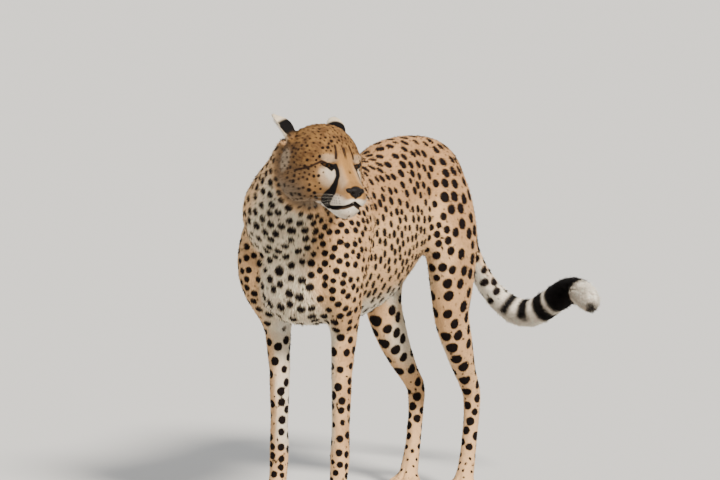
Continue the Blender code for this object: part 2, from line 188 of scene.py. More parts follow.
def headTurn():
    yaw, pitch, roll = (math.radians(head[key]) for key in ("yaw", "pitch", "roll"))
    ahead = Vector((math.sin(yaw), -math.cos(yaw), 0))
    left = Vector((math.cos(yaw), math.sin(yaw), 0))
    up = Vector((0, 0, 1))
    ahead, up = (ahead * math.cos(pitch) - up * math.sin(pitch), ahead * math.sin(pitch) + up * math.cos(pitch))
    left, up = (left * math.cos(roll) - up * math.sin(roll), up * math.cos(roll) + left * math.sin(roll))
    return Matrix((ahead, left, up)).transposed()


def middleOf(node):
    low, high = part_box(node)
    return (Vector(low) + Vector(high)) / 2


headAxes = headTurn()
eyeForward, eyeSide, eyeUp = head["eye"]
betweenEyes = (middleOf("eye_left") + middleOf("eye_right")) / 2
headOrigin = betweenEyes - headAxes @ (Vector((eyeForward, 0, eyeUp)) * head["unit"])
shift = np.array(headOrigin - drawnAt)  # from the numbers below, as drawn, to the model
headMatrix = np.array(headAxes)


def inHead(forward, left, up):
    return headOrigin + headAxes @ (Vector((forward, left, up)) * head["unit"])


def toHead(points):
    return (points - np.array(headOrigin)) @ headMatrix / head["unit"]


def inHalfHead(points):
    # The same, with the right side laid on the left
    places = toHead(points)
    places[:, 1] = np.abs(places[:, 1])
    return places


# the head's forms, finer than the solids

def smoothRows(rows, steps=5):
    found = []
    for i in range(len(rows) - 1):
        before, a, b, after = rows[max(i - 1, 0)], rows[i], rows[i + 1], rows[min(i + 2, len(rows) - 1)]
        for k in range(steps):
            t = k / steps
            found.append([0.5 * (2 * q + (r - p) * t + (2 * p - 5 * q + 4 * r - s) * t * t
                                 + (3 * q - p - 3 * r + s) * t ** 3)
                          for p, q, r, s in zip(before, a, b, after)])
    found.append(list(rows[-1]))
    return found


def addRings(mesh, rings):
    made = [[mesh.verts.new(point) for point in ring] for ring in rings]
    for lower, upper in zip(made, made[1:]):
        for i in range(len(lower)):
            j = (i + 1) % len(lower)
            mesh.faces.new((lower[i], lower[j], upper[j], upper[i]))
    mesh.faces.new(reversed(made[0]))
    mesh.faces.new(made[-1])


def section(halfWidth, top, bottom, squareness, sides):
    found = []
    for i in range(sides):
        c, s = math.cos(2 * math.pi * i / sides), math.sin(2 * math.pi * i / sides)
        found.append((math.copysign(abs(c) ** squareness, c) * halfWidth,
                      math.copysign(abs(s) ** squareness, s) * (top if s > 0 else bottom)))
    return found


def addHeadEgg(mesh, forward, left, up, radii):
    place = (Matrix.Translation(inHead(forward, left, up)) @ headAxes.to_4x4()
             @ Matrix.Diagonal((*(radius * head["unit"] for radius in radii), 1)))
    bmesh.ops.create_uvsphere(mesh, u_segments=32, v_segments=20, radius=1, matrix=place)


skull = {
    # forward, widest level, half width, top, bottom
    "rows": [(4.85, -4.6, 1.0, -3.8, -5.5), (4.65, -4.8, 1.9, -3.3, -6.4), (4.10, -5.1, 2.55, -2.8, -8.0),
             (3.35, -5.2, 2.9, -2.1, -8.8), (2.60, -5.1, 3.1, -1.4, -9.1), (1.80, -4.8, 3.35, -0.6, -9.0),
             (0.95, -4.1, 3.8, 0.5, -8.7), (0.0, -3.5, 4.5, 1.9, -8.3), (-1.5, -3.2, 5.6, 3.6, -7.8),
             (-3.5, -3.0, 6.5, 5.0, -7.4), (-6.0, -2.6, 6.6, 5.55, -7.0), (-8.5, -2.2, 6.3, 5.0, -6.8),
             (-10.5, -2.0, 5.5, 3.5, -6.6), (-12.2, -2.2, 4.0, 1.2, -6.0)],
    # share of the ear's length, half width, thickness on its back, cup depth
    "ear": [(-0.45, 1.0, 1.0), (-0.2, 1.5, 1.1), (0.0, 1.85, 1.2), (0.3, 1.90, 1.0), (0.55, 1.80, 0.8),
            (0.78, 1.45, 0.6), (0.94, 0.90, 0.42), (1.0, 0.4, 0.25)],
    "earBase": (-9.2, 4.9, 2.5), "earTip": (-12.8, 6.5, 5.7), "earBack": (0.35, -0.35, 0.85),
}


def addEar(mesh, side):
    mirror = Vector((1, side, 1))
    base, tip = Vector(skull["earBase"]) * mirror, Vector(skull["earTip"]) * mirror
    along = (tip - base).normalized()
    back = Vector(skull["earBack"]) * mirror
    back = (back - along * along.dot(back)).normalized()
    across = along.cross(back)
    rings = []
    for share, half, thick in smoothRows(skull["ear"], 5):
        ring = []
        for a, b in section(half, thick, thick * 0.45, 1.0, 32):
            cup = 0.75 * math.sin(math.pi * min(max(share, 0) * 1.1, 1)) * (1 - (a / half) ** 2)
            ring.append(inHead(*(base + (tip - base) * share + across * a + back * (b + cup))))
        rings.append(ring if side > 0 else list(reversed(ring)))
    addRings(mesh, rings)


def headForms():
    mesh = bmesh.new()
    rings = []
    for ahead, middle, half, top, bottom in smoothRows(skull["rows"]):
        rings.append([inHead(ahead, across, middle + rise)
                      for across, rise in section(half, top - middle, middle - bottom, 0.90, 48)])
    addRings(mesh, rings)
    for side in (-1, 1):
        addHeadEgg(mesh, 3.15, side * 1.6, -5.4, (1.9, 1.65, 1.5))  # whisker pad
        addHeadEgg(mesh, -1.0, side * 2.9, 0.95, (1.30, 1.8, 0.75))  # brow
        addHeadEgg(mesh, -1.7, side * 3.7, -2.4, (2.1, 1.6, 1.2))  # cheekbone
        addHeadEgg(mesh, -5.2, side * 4.5, -4.3, (4.6, 2.5, 3.5))  # jaw muscle
        addEar(mesh, side)
    addHeadEgg(mesh, 4.05, 0, -4.0, (0.8, 1.55, 1.0))  # under the nose pad
    addHeadEgg(mesh, 2.6, 0, -8.0, (1.8, 1.9, 1.1))  # chin
    return pieceFrom("head forms", mesh)


# one skin over all the flesh

skinSizes = {
    "voxel": 0.0024,
    "closeCuts": 0.0007,  # swells each part this much, so that the thin cuts between parts close
    "bodyTriangles": 78000,
    "jitter": 0.00022,  # evens out the triangles where the body is smooth
    "passes": {"all over": 3, "face": 22, "cheeks": 60, "limbs": 14, "trunk": 70, "nape": 260, "body": 3},
}

flesh = [name for name in frame["nodes"] if not name.startswith("eye_") and name != "nose"]


def fleshCopy():
    selectOnly(*(newPiece("copy of " + name, frame["nodes"][name].data.copy()) for name in flesh
                 if name not in ("head", "lower_jaw", "ear_left", "ear_right")))
    bpy.ops.object.join()
    body = bpy.context.view_layer.objects.active
    bpy.ops.object.mode_set(mode="EDIT")
    bpy.ops.mesh.select_all(action="SELECT")
    bpy.ops.mesh.remove_doubles(threshold=0.00002)
    bpy.ops.object.mode_set(mode="OBJECT")
    if body.data.has_custom_normals:
        bpy.ops.mesh.customdata_custom_splitnormals_clear()
    addModifier(body, "DISPLACE", strength=skinSizes["closeCuts"], mid_level=0)
    applyModifiers(body)
    return body


def groupFrom(piece, name, weights, levels=8):
    group = piece.vertex_groups.new(name=name)
    steps = np.round(np.clip(weights, 0, 1) * levels).astype(int)
    for level in range(1, levels + 1):
        group.add(np.nonzero(steps == level)[0].tolist(), level / levels, "REPLACE")
    return group.name


def smooth(piece, name, weights=None):
    group = "" if weights is None else groupFrom(piece, name, weights)
    addModifier(piece, "SMOOTH", factor=0.5, iterations=skinSizes["passes"][name], vertex_group=group)


def headness(points):
    # How far a place belongs to the head: 1 on it and on the ears, and 0 on the neck
    f, l, u = toHead(points).T
    base, tip = np.array(skull["earBase"]), np.array(skull["earTip"])
    rel = np.stack([f, np.abs(l), u], axis=1) - base
    share = np.clip(rel @ (tip - base) / ((tip - base) @ (tip - base)), 0, 1.2)
    ear = 1 - ease(np.linalg.norm(rel - share[:, None] * (tip - base), axis=1), 2.5, 3.4)
    egg = 1 - ease(((f + 3.6) / 9.6) ** 2 + (l / 8.6) ** 2 + ((u + 1.6) / 9.0) ** 2, 0.95, 1.45)
    return np.maximum(egg, ear)


def splitFaces(piece, chosen):
    # Halves the edges of the faces whose corners are all chosen
    mesh = bmesh.new()
    mesh.from_mesh(piece.data)
    mesh.verts.ensure_lookup_table()
    edges = [edge for edge in mesh.edges if chosen[edge.verts[0].index] and chosen[edge.verts[1].index]]
    bmesh.ops.subdivide_edges(mesh, edges=edges, cuts=1, use_grid_fill=True)
    bmesh.ops.triangulate(mesh, faces=[face for face in mesh.faces if len(face.verts) > 3])
    mesh.to_mesh(piece.data)
    mesh.free()


def growSkin():
    skin = fleshCopy()
    selectOnly(skin, headForms())
    bpy.ops.object.join()
    skin.name = "skin"
    addModifier(skin, "REMESH", mode="VOXEL", voxel_size=skinSizes["voxel"])
    applyModifiers(skin)
    points = pointsOf(skin.data)
    _, y, z = points.T
    f, l, u = toHead(points).T
    offHead = 1 - headness(points)
    onEar = ease(u - 0.35 * np.abs(l) - 0.3 * np.abs(f + 9), 0.0, 1.2) * (f < -8.2)
    smooth(skin, "all over")
    smooth(skin, "face", (1 - offHead) * (1 - onEar))
    smooth(skin, "cheeks", (1 - offHead) * ease(-f, 1.6, 4.0) * (1 - ease(u, 0.0, 2.0)))
    smooth(skin, "limbs", offHead * (0.3 + 0.7 * ease(z, 0.035, 0.09)))
    smooth(skin, "trunk", offHead * ease(z, 0.36, 0.47) * (1 - ease(y, 0.33, 0.37)))
    applyModifiers(skin)
    f, l, u = toHead(pointsOf(skin.data)).T
    smooth(skin, "nape", np.exp(-(((f + 12.2) / 3.4) ** 2 + (l / 7.5) ** 2 + ((u - 0.5) / 4.6) ** 2) ** 2))
    applyModifiers(skin)
    points = pointsOf(skin.data)
    uneven = skinSizes["jitter"] * offHead * rng.standard_normal(len(points))
    setPoints(skin.data, points + normalsOf(skin.data) * uneven[:, None])
    # the body is thinned and the head keeps its faces
    plain, total = (offHead > 0.4).astype(float), len(skin.data.polygons)
    headFaces = float((offHead < 0.5).mean()) * total
    addModifier(skin, "DECIMATE", ratio=(skinSizes["bodyTriangles"] + 2 * headFaces) / (2 * total),
                vertex_group=groupFrom(skin, "thinned", plain), vertex_group_factor=1.0)
    smooth(skin, "body", plain)
    applyModifiers(skin)
    skin.vertex_groups.clear()
    skin.data.materials.clear()
    for word in [item.name for item in skin.data.attributes if not item.is_internal and not item.is_required]:
        if word in skin.data.attributes:
            skin.data.attributes.remove(skin.data.attributes[word])
    return skin


skin = growSkin()
print("skin grown:", len(skin.data.polygons), "faces")


# lids, mouth and ear hollows, shaped in the skin

lids = {
    "over": 0.10,  # lid thickness over the eyeball, in head centimetres, as all here
    "halfLength": 40.0, "halfHeight": 10.5,  # of the opening, in degrees round the eyeball
    "slant": 0.16,  # how much lower the inner corner is
    "gaze": (1.0, 0.30, -0.04),
    "fold": 0.06, "foldAt": 11,  # crease above the upper lid, and how many degrees above its edge
}
mouth = {
    "line": [(4.69, 0.0, -6.05), (4.57, 0.78, -6.45), (4.25, 1.6, -6.82), (3.84, 2.28, -7.0), (2.9, 2.65, -7.25),
             (1.97, 2.75, -7.38), (1.2, 3.05, -7.2)],  # from the middle of the upper lip to the corner
    "depth": 0.30, "width": 0.22,
    "cleftDepth": 0.12, "cleftWidth": 0.10,  # from the lip up to the nose
    "bare": 0.38, "dark": 0.50,  # no hair grows this near, and black skin ends here
}


def eyeAngles(points, side):
    # Degrees towards the nose and up from the middle of the opening; the vector from the eye's middle and its
    # length; and how far round the eye each point lies, 1 for straight ahead
    rel = toHead(points) - np.array([eyeForward, side * eyeSide, eyeUp])
    gaze = np.array(lids["gaze"]) * (1, side, 1)
    gaze /= np.linalg.norm(gaze)
    inward = np.array([0, -side, 0]) - gaze * (-side * gaze[1])
    inward /= np.linalg.norm(inward)
    over = np.cross(gaze, inward) * side
    over *= np.sign(over[2])
    ahead, far = rel @ gaze, lengthsOf(rel)
    return (np.degrees(np.arctan2(rel @ inward, ahead)), np.degrees(np.arctan2(rel @ over, ahead)), rel, far,
            ahead / np.maximum(far, 1e-6))


def lidGap(a, b):
    # Degrees outside the edge of the lids: below zero in the opening. Second: the same, signed up or down
    lift = b + lids["slant"] * a
    reach = np.where(a > 0, lids["halfLength"] - 5, lids["halfLength"])
    half = lids["halfHeight"] * np.clip(1 - (a / reach) ** 2, 0, 1) ** 0.75
    past = np.maximum(np.abs(a) - reach, 0)
    return np.hypot(np.maximum(np.abs(lift) - half, 0), past) - np.maximum(half - np.abs(lift), 0), lift


def nearMouth(points):
    # Distance to the line of the mouth in head centimetres, and the share of the way to its corner
    far, along = nearPath(inHalfHead(points), mouth["line"])
    return far, along / lengthsOf(np.diff(np.array(mouth["line"]), axis=0)).sum()


def onSkin(path):
    # The path laid on the surface
    return [tuple(toHead(np.array([skin.closest_point_on_mesh(inHead(*place))[1]]))[0]) for place in path]


def shapeFace(skin):
    f, l, u = toHead(pointsOf(skin.data)).T
    splitFaces(skin, (f > -1.2) & (np.abs(l) < 4.8) & (u < 1.4))
    points = pointsOf(skin.data)
    near = np.zeros(len(points), bool)
    for side in (1, -1):
        a, b, _, far, facing = eyeAngles(points, side)
        near |= (far < 2.6) & (facing > 0.35) & (np.abs(a) < 56) & (np.abs(b) < 30)
    splitFaces(skin, near)
    # the skin settles onto a ball a lid's thickness over each eyeball, and opens between the lids
    points = pointsOf(skin.data)
    places = toHead(points)
    for side in (1, -1):
        a, b, rel, far, facing = eyeAngles(points, side)
        angle = np.degrees(np.arccos(np.clip(facing, -1, 1)))
        hold = (1 - ease(angle, 34, 72)) * (1 - ease(far, 2.0, 3.6))
        goal = far * (1 - hold) + (head["eyeRadius"] + lids["over"]) * hold
        gap, lift = lidGap(a, b)
        rim = np.clip(1 - gap / 5.0, 0, 1) * (gap > 0) * (angle < 60)
        fold = np.exp(-((gap - lids["foldAt"]) / 3.0) ** 2) * (lift > 0) * (angle < 60)
        goal = goal + 0.05 * rim - lids["fold"] * fold
        goal = np.where((gap < 0) & (facing > 0.3) & (far < 3.2), head["eyeRadius"] - 0.30, goal)
        use = (facing > 0.05) & (far < 3.6)
        middle = np.array([eyeForward, side * eyeSide, eyeUp])
        places[use] = (middle + rel / np.maximum(far, 1e-6)[:, None] * goal[:, None])[use]
    points = np.array(headOrigin) + places * head["unit"] @ headMatrix.T
    # lips meet in a groove, with a second one up to the nose
    mouth["line"] = onSkin(mouth["line"])
    far, share = nearMouth(points)
    groove = mouth["depth"] * np.exp(-(far / mouth["width"]) ** 2) * (1 - ease(share, 0.86, 1.0))
    f, l, u = toHead(points).T
    cleft = (mouth["cleftDepth"] * np.exp(-(l / mouth["cleftWidth"]) ** 2) * (f > 3.6)
             * ease(-u, 5.2, 5.6) * (1 - ease(-u, 6.3, 6.5)))
    setPoints(skin.data, points - normalsOf(skin.data) * ((groove + cleft) * head["unit"])[:, None])


toes = {"gaps": (-0.0192, 0.0, 0.0192), "width": 0.0026, "depth": 0.0042, "back": 0.058}


def shapeToes(skin):
    # Clefts between the toes, in line with the solids' toes
    feet = [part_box(node) for node in flesh if "foot" in node]

    def within(low, high, deep, tall):
        x, y, z = pointsOf(skin.data).T
        return (x > low[0] - 0.003) & (x < high[0] + 0.003) & (y > low[1] - 0.01) & (y < low[1] + deep) & (z < tall)

    splitFaces(skin, np.any([within(low, high, toes["back"], 0.05) for low, high in feet], axis=0))
    points, normals = pointsOf(skin.data), normalsOf(skin.data)
    dent = np.zeros(len(points))
    for low, high in feet:
        near = within(low, high, 1, 0.06)
        across, behind = points[:, 0] - (low[0] + high[0]) / 2, points[:, 1] - low[1]
        fade = (1 - ease(behind, 0.030, toes["back"])) * ease(points[:, 2], 0.001, 0.006)
        for gap in toes["gaps"]:
            fanned = across - gap * (1 + 2.5 * (0.03 - behind))
            dent = np.maximum(dent, near * fade * np.exp(-(fanned / toes["width"]) ** 2))
    setPoints(skin.data, points - normals * (toes["depth"] * dent)[:, None])


shapeFace(skin)
shapeToes(skin)
print("face and toes shaped:", len(skin.data.polygons), "faces")


# how the coat lies, how long it is and how it is marked

def spineX(y):
    return 0.12 * (y - 0.05) ** 2


tailPath = [(0.008, 0.290, 0.705), (0.010, 0.338, 0.660), (0.013, 0.378, 0.590), (0.018, 0.412, 0.510),
            (0.030, 0.452, 0.445), (0.058, 0.474, 0.402), (0.098, 0.484, 0.378), (0.140, 0.482, 0.382),
            (0.185, 0.474, 0.408), (0.226, 0.460, 0.432), (0.264, 0.440, 0.437), (0.300, 0.412, 0.428),
            (0.322, 0.388, 0.416), (0.331, 0.377, 0.411)]


def coatGuides():
    # Rows: place, lie, reach, hair length and coat depth in mm, spot spacing in cm, paleness, spot strength
    rows = []
    for y, z in ((-0.20, 0.75), (-0.08, 0.75), (0.04, 0.765), (0.16, 0.78), (0.25, 0.765)):
        rows.append(((spineX(y), y, z), (0, 1, -0.05), 0.10, 13, 5, 2.35, 0.0, 1))
    rows.append(((0.008, 0.31, 0.73), (0, 0.6, -0.8), 0.07, 14, 5, 2.3, 0.0, 1))
    for y, z in ((-0.15, 0.42), (-0.02, 0.44), (0.10, 0.50)):
        rows.append(((spineX(y), y, z), (0, 1, 0.05), 0.08, 18, 6, 3.0, 0.9, 0.5))
    rows += [
        ((0.012, -0.365, 0.50), (0, 0.15, -1), 0.08, 18, 7, 2.2, 0.62, 0.95),
        ((0.012, -0.30, 0.43), (0, 0.8, -0.6), 0.07, 19, 7, 3.0, 0.75, 0.8),
        ((0.0, -0.40, 0.62), (-0.1, 0.1, -1), 0.07, 18, 7, 1.95, 0.62, 0.95),
        ((0.06, -0.43, 0.68), (-0.45, 0.1, -0.9), 0.05, 17, 6, 1.8, 0.70, 1),
        ((0.08, -0.31, 0.80), (-0.44, 0.87, -0.24), 0.06, 16, 6, 1.7, 0.0, 1),
        ((0.03, -0.25, 0.77), (-0.44, 0.87, -0.24), 0.06, 15, 6, 2.0, 0.0, 1),
        ((-0.075, -0.36, 0.69), (-0.35, 0.35, -0.87), 0.07, 14, 6, 1.75, 0.3, 1),
        ((0.10, -0.30, 0.69), (-0.25, 0.6, -0.75), 0.07, 14, 6, 1.7, 0.2, 1),
    ]
    for side in (-1, 1):
        for y, z in ((-0.12, 0.57), (0.0, 0.57), (0.09, 0.60)):
            rows.append(((spineX(y) + side * 0.10, y, z), (0, 1, -0.22), 0.09, 11, 4.5, 1.95, 0.25, 1))
            rows.append(((spineX(y) + side * 0.075, y, 0.70), (0, 1, -0.12), 0.08, 11, 4.5, 2.15, 0.06, 1))
        front = side * 0.075 + 0.008
        hind = side * 0.070
        rows += [
            ((side * 0.08 + 0.01, -0.19, 0.70), (0, 0.8, -0.6), 0.07, 12, 5, 1.9, 0.05, 1),
            ((side * 0.13 + 0.01, -0.25, 0.60), (0, 0.35, -0.94), 0.09, 11, 4.5, 1.7, 0.15, 1),
            ((side * 0.11 + 0.01, -0.33, 0.53), (0, 0.2, -1), 0.07, 12, 5, 1.75, 0.3, 1),
            ((side * 0.115 + 0.01, -0.25, 0.46), (0, 0.2, -1), 0.06, 10, 4, 1.75, 0.15, 1),
            ((side * 0.035 + 0.01, -0.26, 0.42), (0, 0.2, -1), 0.045, 10, 3.5, 2.8, 0.95, 0.2),
            ((front, -0.275, 0.13), (0, 0, -1), 0.035, 6, 2, 1.75, 0.25, 0.95),
            ((front, -0.275, 0.06), (0, -0.5, -0.85), 0.035, 5, 1.6, 1.6, 0.3, 0.8),
            ((front, -0.32, 0.02), (0, -1, -0.25), 0.035, 4, 1.2, 1.4, 0.3, 0.25),
            ((side * 0.07, 0.20, 0.735), (0, 0.8, -0.6), 0.07, 13, 5, 2.6, 0.0, 1),
            ((side * 0.13, 0.20, 0.62), (0, 0.3, -0.95), 0.09, 12, 5, 3.1, 0.08, 1),
            ((side * 0.13, 0.20, 0.50), (0, 0.3, -0.95), 0.08, 11, 4.5, 3.1, 0.12, 1),
            ((side * 0.10, 0.12, 0.52), (0, 0.6, -0.8), 0.06, 13, 5, 2.2, 0.35, 1),
            ((side * 0.035, 0.20, 0.46), (0, 0.3, -1), 0.05, 12, 4, 3.0, 0.85, 0.6),
            ((side * 0.07, 0.31, 0.60), (0, 0.15, -1), 0.06, 15, 6, 2.5, 0.3, 0.9),
            ((side * 0.08, 0.275, 0.48), (0, 0.2, -1), 0.05, 13, 5, 2.6, 0.3, 0.9),
            ((side * 0.115, 0.17, 0.42), (0, 0.4, -0.92), 0.06, 10, 4, 3.1, 0.15, 1),
            ((side * 0.105, 0.25, 0.33), (0, 0.5, -0.87), 0.05, 9, 3, 3.2, 0.18, 1),
            ((side * 0.05, 0.25, 0.34), (0, 0.5, -0.87), 0.045, 9, 3, 3.0, 0.75, 0.8),
            ((hind, 0.35, 0.22), (0, 0.1, -1), 0.035, 8, 2.5, 2.6, 0.25, 1),
            ((hind, 0.325, 0.14), (0, -0.15, -1), 0.04, 6, 2, 2.2, 0.3, 0.85),
            ((hind, 0.30, 0.05), (0, -0.5, -0.85), 0.035, 5, 1.6, 1.5, 0.3, 0.4),
            ((hind, 0.26, 0.02), (0, -1, -0.25), 0.035, 4, 1.2, 1.4, 0.3, 0.2),
        ]
        for z, spacing in ((0.37, 2.0), (0.29, 2.05), (0.21, 1.95)):
            rows.append(((front + side * 0.02, -0.25, z), (0, 0.05, -1), 0.045, 8, 2.6, spacing, 0.12, 1))
            rows.append(((front - side * 0.02, -0.25, z), (0, 0.05, -1), 0.04, 8, 2.6, spacing + 0.3, 0.75, 0.85))
    for i, (here, after) in enumerate(zip(tailPath, tailPath[1:])):
        way = Vector(after) - Vector(here)
        grown = i / (len(tailPath) - 2)
        rows.append((here, tuple(way.normalized()), 0.05, 12 + 8 * grown, 4.5 + 3.5 * grown, 2.25, 0.55, 1))
    return rows


guideRows = coatGuides()
guidePlaces = np.array([row[0] for row in guideRows]) + shift
guideLies = unit(np.array([row[1] for row in guideRows], float))
guideNumbers = np.array([row[2:] for row in guideRows], float)
short = guideNumbers[:, 1] < 15  # short hair lies flat
guideNumbers[short, 2] = np.minimum(guideNumbers[short, 2], 0.28 * guideNumbers[short, 1])
earAlong = np.array(Vector(skull["earTip"]) - Vector(skull["earBase"]))
earAlong = earAlong / np.linalg.norm(earAlong)
earBackward = unit(np.array(skull["earBack"], float))


def mirrored(vector, side):
    # The vector on each point's own side of the head
    return vector * np.stack([np.ones_like(side), side, np.ones_like(side)], axis=1)


def onEars(points):
    # How far up an ear each point is, 0 at its base to 1 at its tip, and how surely it is on one
    rel = inHalfHead(points) - np.array(skull["earBase"])
    up = rel @ earAlong
    aside = lengthsOf(rel - up[:, None] * earAlong)
    share = up / np.linalg.norm(np.array(skull["earTip"]) - np.array(skull["earBase"]))
    return share, ease(share, -0.12, 0.10) * (1 - ease(aside, 2.3, 2.9)) * (1 - ease(share, 1.15, 1.3))


def behindEar(points, normals):
    # How far each point faces the way that the backs of the ears do
    return (unit(normals @ headMatrix) * mirrored(earBackward, np.sign(toHead(points)[:, 1]))).sum(axis=1)


def headHair(points):
    # Lie of the hair on the head in the head's axes, and its numbers as in coatGuides
    f, l, u = toHead(points).T
    side, s = np.sign(l), np.abs(l)
    low = ease(-u, 0.5, 5.5)
    across = side * (0.16 + 0.30 * ease(s, 2.5, 6.0) + 0.25 * ease(f, 2.0, 4.5))
    rise = 0.35 * (1 - low) * ease(f, -5.0, 0.5) - 0.40 * low * ease(s, 2.0, 5.0)
    lie = np.stack([-np.ones_like(f), across, rise], axis=1)
    _, ear = onEars(points)
    lie = lie * (1 - ear[:, None]) + mirrored(earAlong, side) * ear[:, None]
    length = 2.4 + 0.62 * np.clip(4.0 - f, 0, 14) * (1 + 0.45 * ease(s, 4.0, 6.5) * low)
    length = length * (1 - ear) + 5.0 * ear
    depth = np.clip(0.24 * length, 0.5, 3.5) * (1 - ear) + 0.5 * ear
    spots = (1 - ease(f, -1.4 + 1.2 * low, 0.4 + 1.2 * low)) * (1 - 0.15 * low) * (1 - ear)
    return unit(lie), np.stack([length, depth, 0.86 + 0.22 * low, np.full_like(f, 0.1), spots], axis=1)


def coatAt(points, normals):
    # Lie of the hair, its length and depth in metres, spot spacing in metres, paleness and spot strength
    lies, numbers = np.empty((len(points), 3)), np.empty((len(points), 5))
    for start in range(0, len(points), 40000):
        part = slice(start, start + 40000)
        far = np.linalg.norm(points[part, None] - guidePlaces[None], axis=2)
        weight = (guideNumbers[None, :, 0] / np.maximum(far, 0.004)) ** 5
        weight /= weight.sum(axis=1, keepdims=True)
        lies[part] = weight @ guideLies
        numbers[part] = weight @ guideNumbers[:, 1:]
    onHead = headness(points)[:, None]
    headLies, headNumbers = headHair(points)
    lies = lies * (1 - onHead) + headLies @ headMatrix.T * onHead
    numbers = numbers * (1 - onHead) + headNumbers * onHead
    lies = lies - normals * (lies * normals).sum(axis=1, keepdims=True)
    return unit(lies), numbers * (0.001, 0.001, 0.01, 1, 1)


def scatter(mesh, density):
    # Points spread evenly over the triangles: density gives how many for each square metre at each triangle
    mesh.calc_loop_triangles()
    corners, loops = (readOut(mesh.loop_triangles, key, 3, np.int32) for key in ("vertices", "loops"))
    points, normals = pointsOf(mesh), normalsOf(mesh)
    a, b, c = (points[corners[:, k]] for k in range(3))
    wanted = lengthsOf(np.cross(b - a, c - a)) / 2 * density((a + b + c) / 3)
    count = np.diff(np.floor(np.cumsum(wanted) + rng.random()), prepend=0).astype(int)
    chosen = np.repeat(np.arange(len(corners)), count)
    p, q = np.sqrt(rng.random(len(chosen))), rng.random(len(chosen))
    share = np.stack([1 - p, p * (1 - q), p * q], axis=1)
    places, facing = ((values[corners[chosen]] * share[..., None]).sum(axis=1) for values in (points, normals))
    return places, unit(facing), loops[chosen], share


spotting = {
    "gap": 0.93,  # share of the spacing that the guides ask for
    "share": 0.468, "headShare": 0.31, "tailShare": 0.53,  # radius over spacing
    "reach": 0.445,  # most of the way to the next spot that a radius takes
    "vary": 0.11, "headVary": 0.36,
    "speck": 0.0024, "speckGap": 0.021, "speckRoom": 0.0042,
    "most": 6000,
}


def placeSpots(skin):
    # Spot middles and radii: evenly spread by throwing darts, each kept if it clears its neighbours
    places, facing, _, _ = scatter(skin.data, lambda at: np.where(headness(at) > 0.5, 140000.0, 36000.0))
    order = rng.permutation(len(places))
    places, facing = places[order], facing[order]
    _, numbers = coatAt(places, facing)
    onHead = headness(places)
    far, along = nearPath(places - shift, tailPath)
    onTail = (far < 0.042) & (along > 0.09)
    shares = spotting["share"] + (spotting["headShare"] - spotting["share"]) * onHead
    shares[onTail] = spotting["tailShare"]
    varies = spotting["vary"] + (spotting["headVary"] - spotting["vary"]) * onHead
    kept, gaps, radii = np.empty((spotting["most"], 3)), np.empty(spotting["most"]), []
    for i in range(len(places)):
        used, gap = len(radii), numbers[i, 2] * spotting["gap"]
        if used == spotting["most"]:
            break
        if used and (lengthsOf(kept[:used] - places[i]) < (gap + gaps[:used]) / 2).any():
            continue
        kept[used], gaps[used] = places[i], gap
        radii.append(gap * shares[i] * max(0.45, 1 + varies[i] * rng.standard_normal()))
    # no spot runs into the next, and a few specks lie between those of the back, flanks and thighs
    large, radii = kept[:len(radii)].copy(), np.array(radii)
    for i, place in enumerate(large):
        radii[i] = min(radii[i], spotting["reach"] * np.partition(lengthsOf(large - place), 1)[1])
    specks = []
    for place in places[(numbers[:, 4] > 0.9) & (onHead < 0.1)]:
        clear = (lengthsOf(large - place) - radii).min() > spotting["speckRoom"]
        if clear and all(np.linalg.norm(place - other) > spotting["speckGap"] for other in specks):
            specks.append(place)
    sizes = spotting["speck"] * (0.7 + 0.5 * rng.random(len(specks)))
    print("spots:", len(large), "and specks:", len(specks))
    return np.concatenate([large, np.array(specks)]), np.concatenate([radii, sizes])


def spotField(points):
    # 0 in the middle of the nearest spot, 1 on its edge
    tree = KDTree(len(spotPlaces))
    for i, place in enumerate(spotPlaces):
        tree.insert(place, i)
    tree.balance()
    return np.array([min(9.0, *(far / spotRadii[which] for _, which, far in tree.find_n(place, 2)))
                     for place in points])


# the cheek and grey colours are darker than the hair itself, partly as painted shade
hairColours = {
    "back": "C49566", "flank": "EEBF8B", "pale": "F6E0C0", "white": "F8EAD6", "spot": "140A05",
    "crown": "805D39", "gold": "966E40", "umber": "5E3F22", "bridge": "B5854D", "cheek_and_shade": "876644", "shaded_jaw_grey": "94816B",
    "brown": "2E1C11", "black": "0E0907",
}
tones = {word: colour(value) for word, value in hairColours.items()}
faceLines = (  # half width, where it has faded out, growth along the way, colour, path in head centimetres
    (0.13, 0.28, 0, "brown",  # behind the eye
     [(-0.10, 3.6, -0.1), (-0.53, 4.2, 0.1), (-1.7, 5.5, -1.1), (-3.0, 6.2, -1.7), (-4.6, 6.6, -2.3)]),
    # brow: a dark line painted along each frown crease above the eye, as the crease's shade
    (0.18, 0.34, 0, "brown", [(-0.95, 1.52, 2.85), (-0.3, 1.64, 2.1), (0.27, 1.85, 0.87)]),  # brow
    (0.08, 0.23, 0, "brown", [(-0.6, 0.15, 2.5), (0.5, 0.15, 1.2), (1.4, 0.12, 0.2), (2.4, 0.1, -1.2)]),  # forehead
    (0.27, 0.44, 0.60, "black",  # tear line
     [(0.62, 2.05, -0.35), (1.35, 2.05, -1.1), (1.99, 2.25, -1.9), (2.34, 2.85, -3.2), (2.2, 3.2, -4.6),
      (1.5, 3.4, -5.6), (1.0, 3.35, -6.5), (0.95, 3.1, -7.1)]),
)
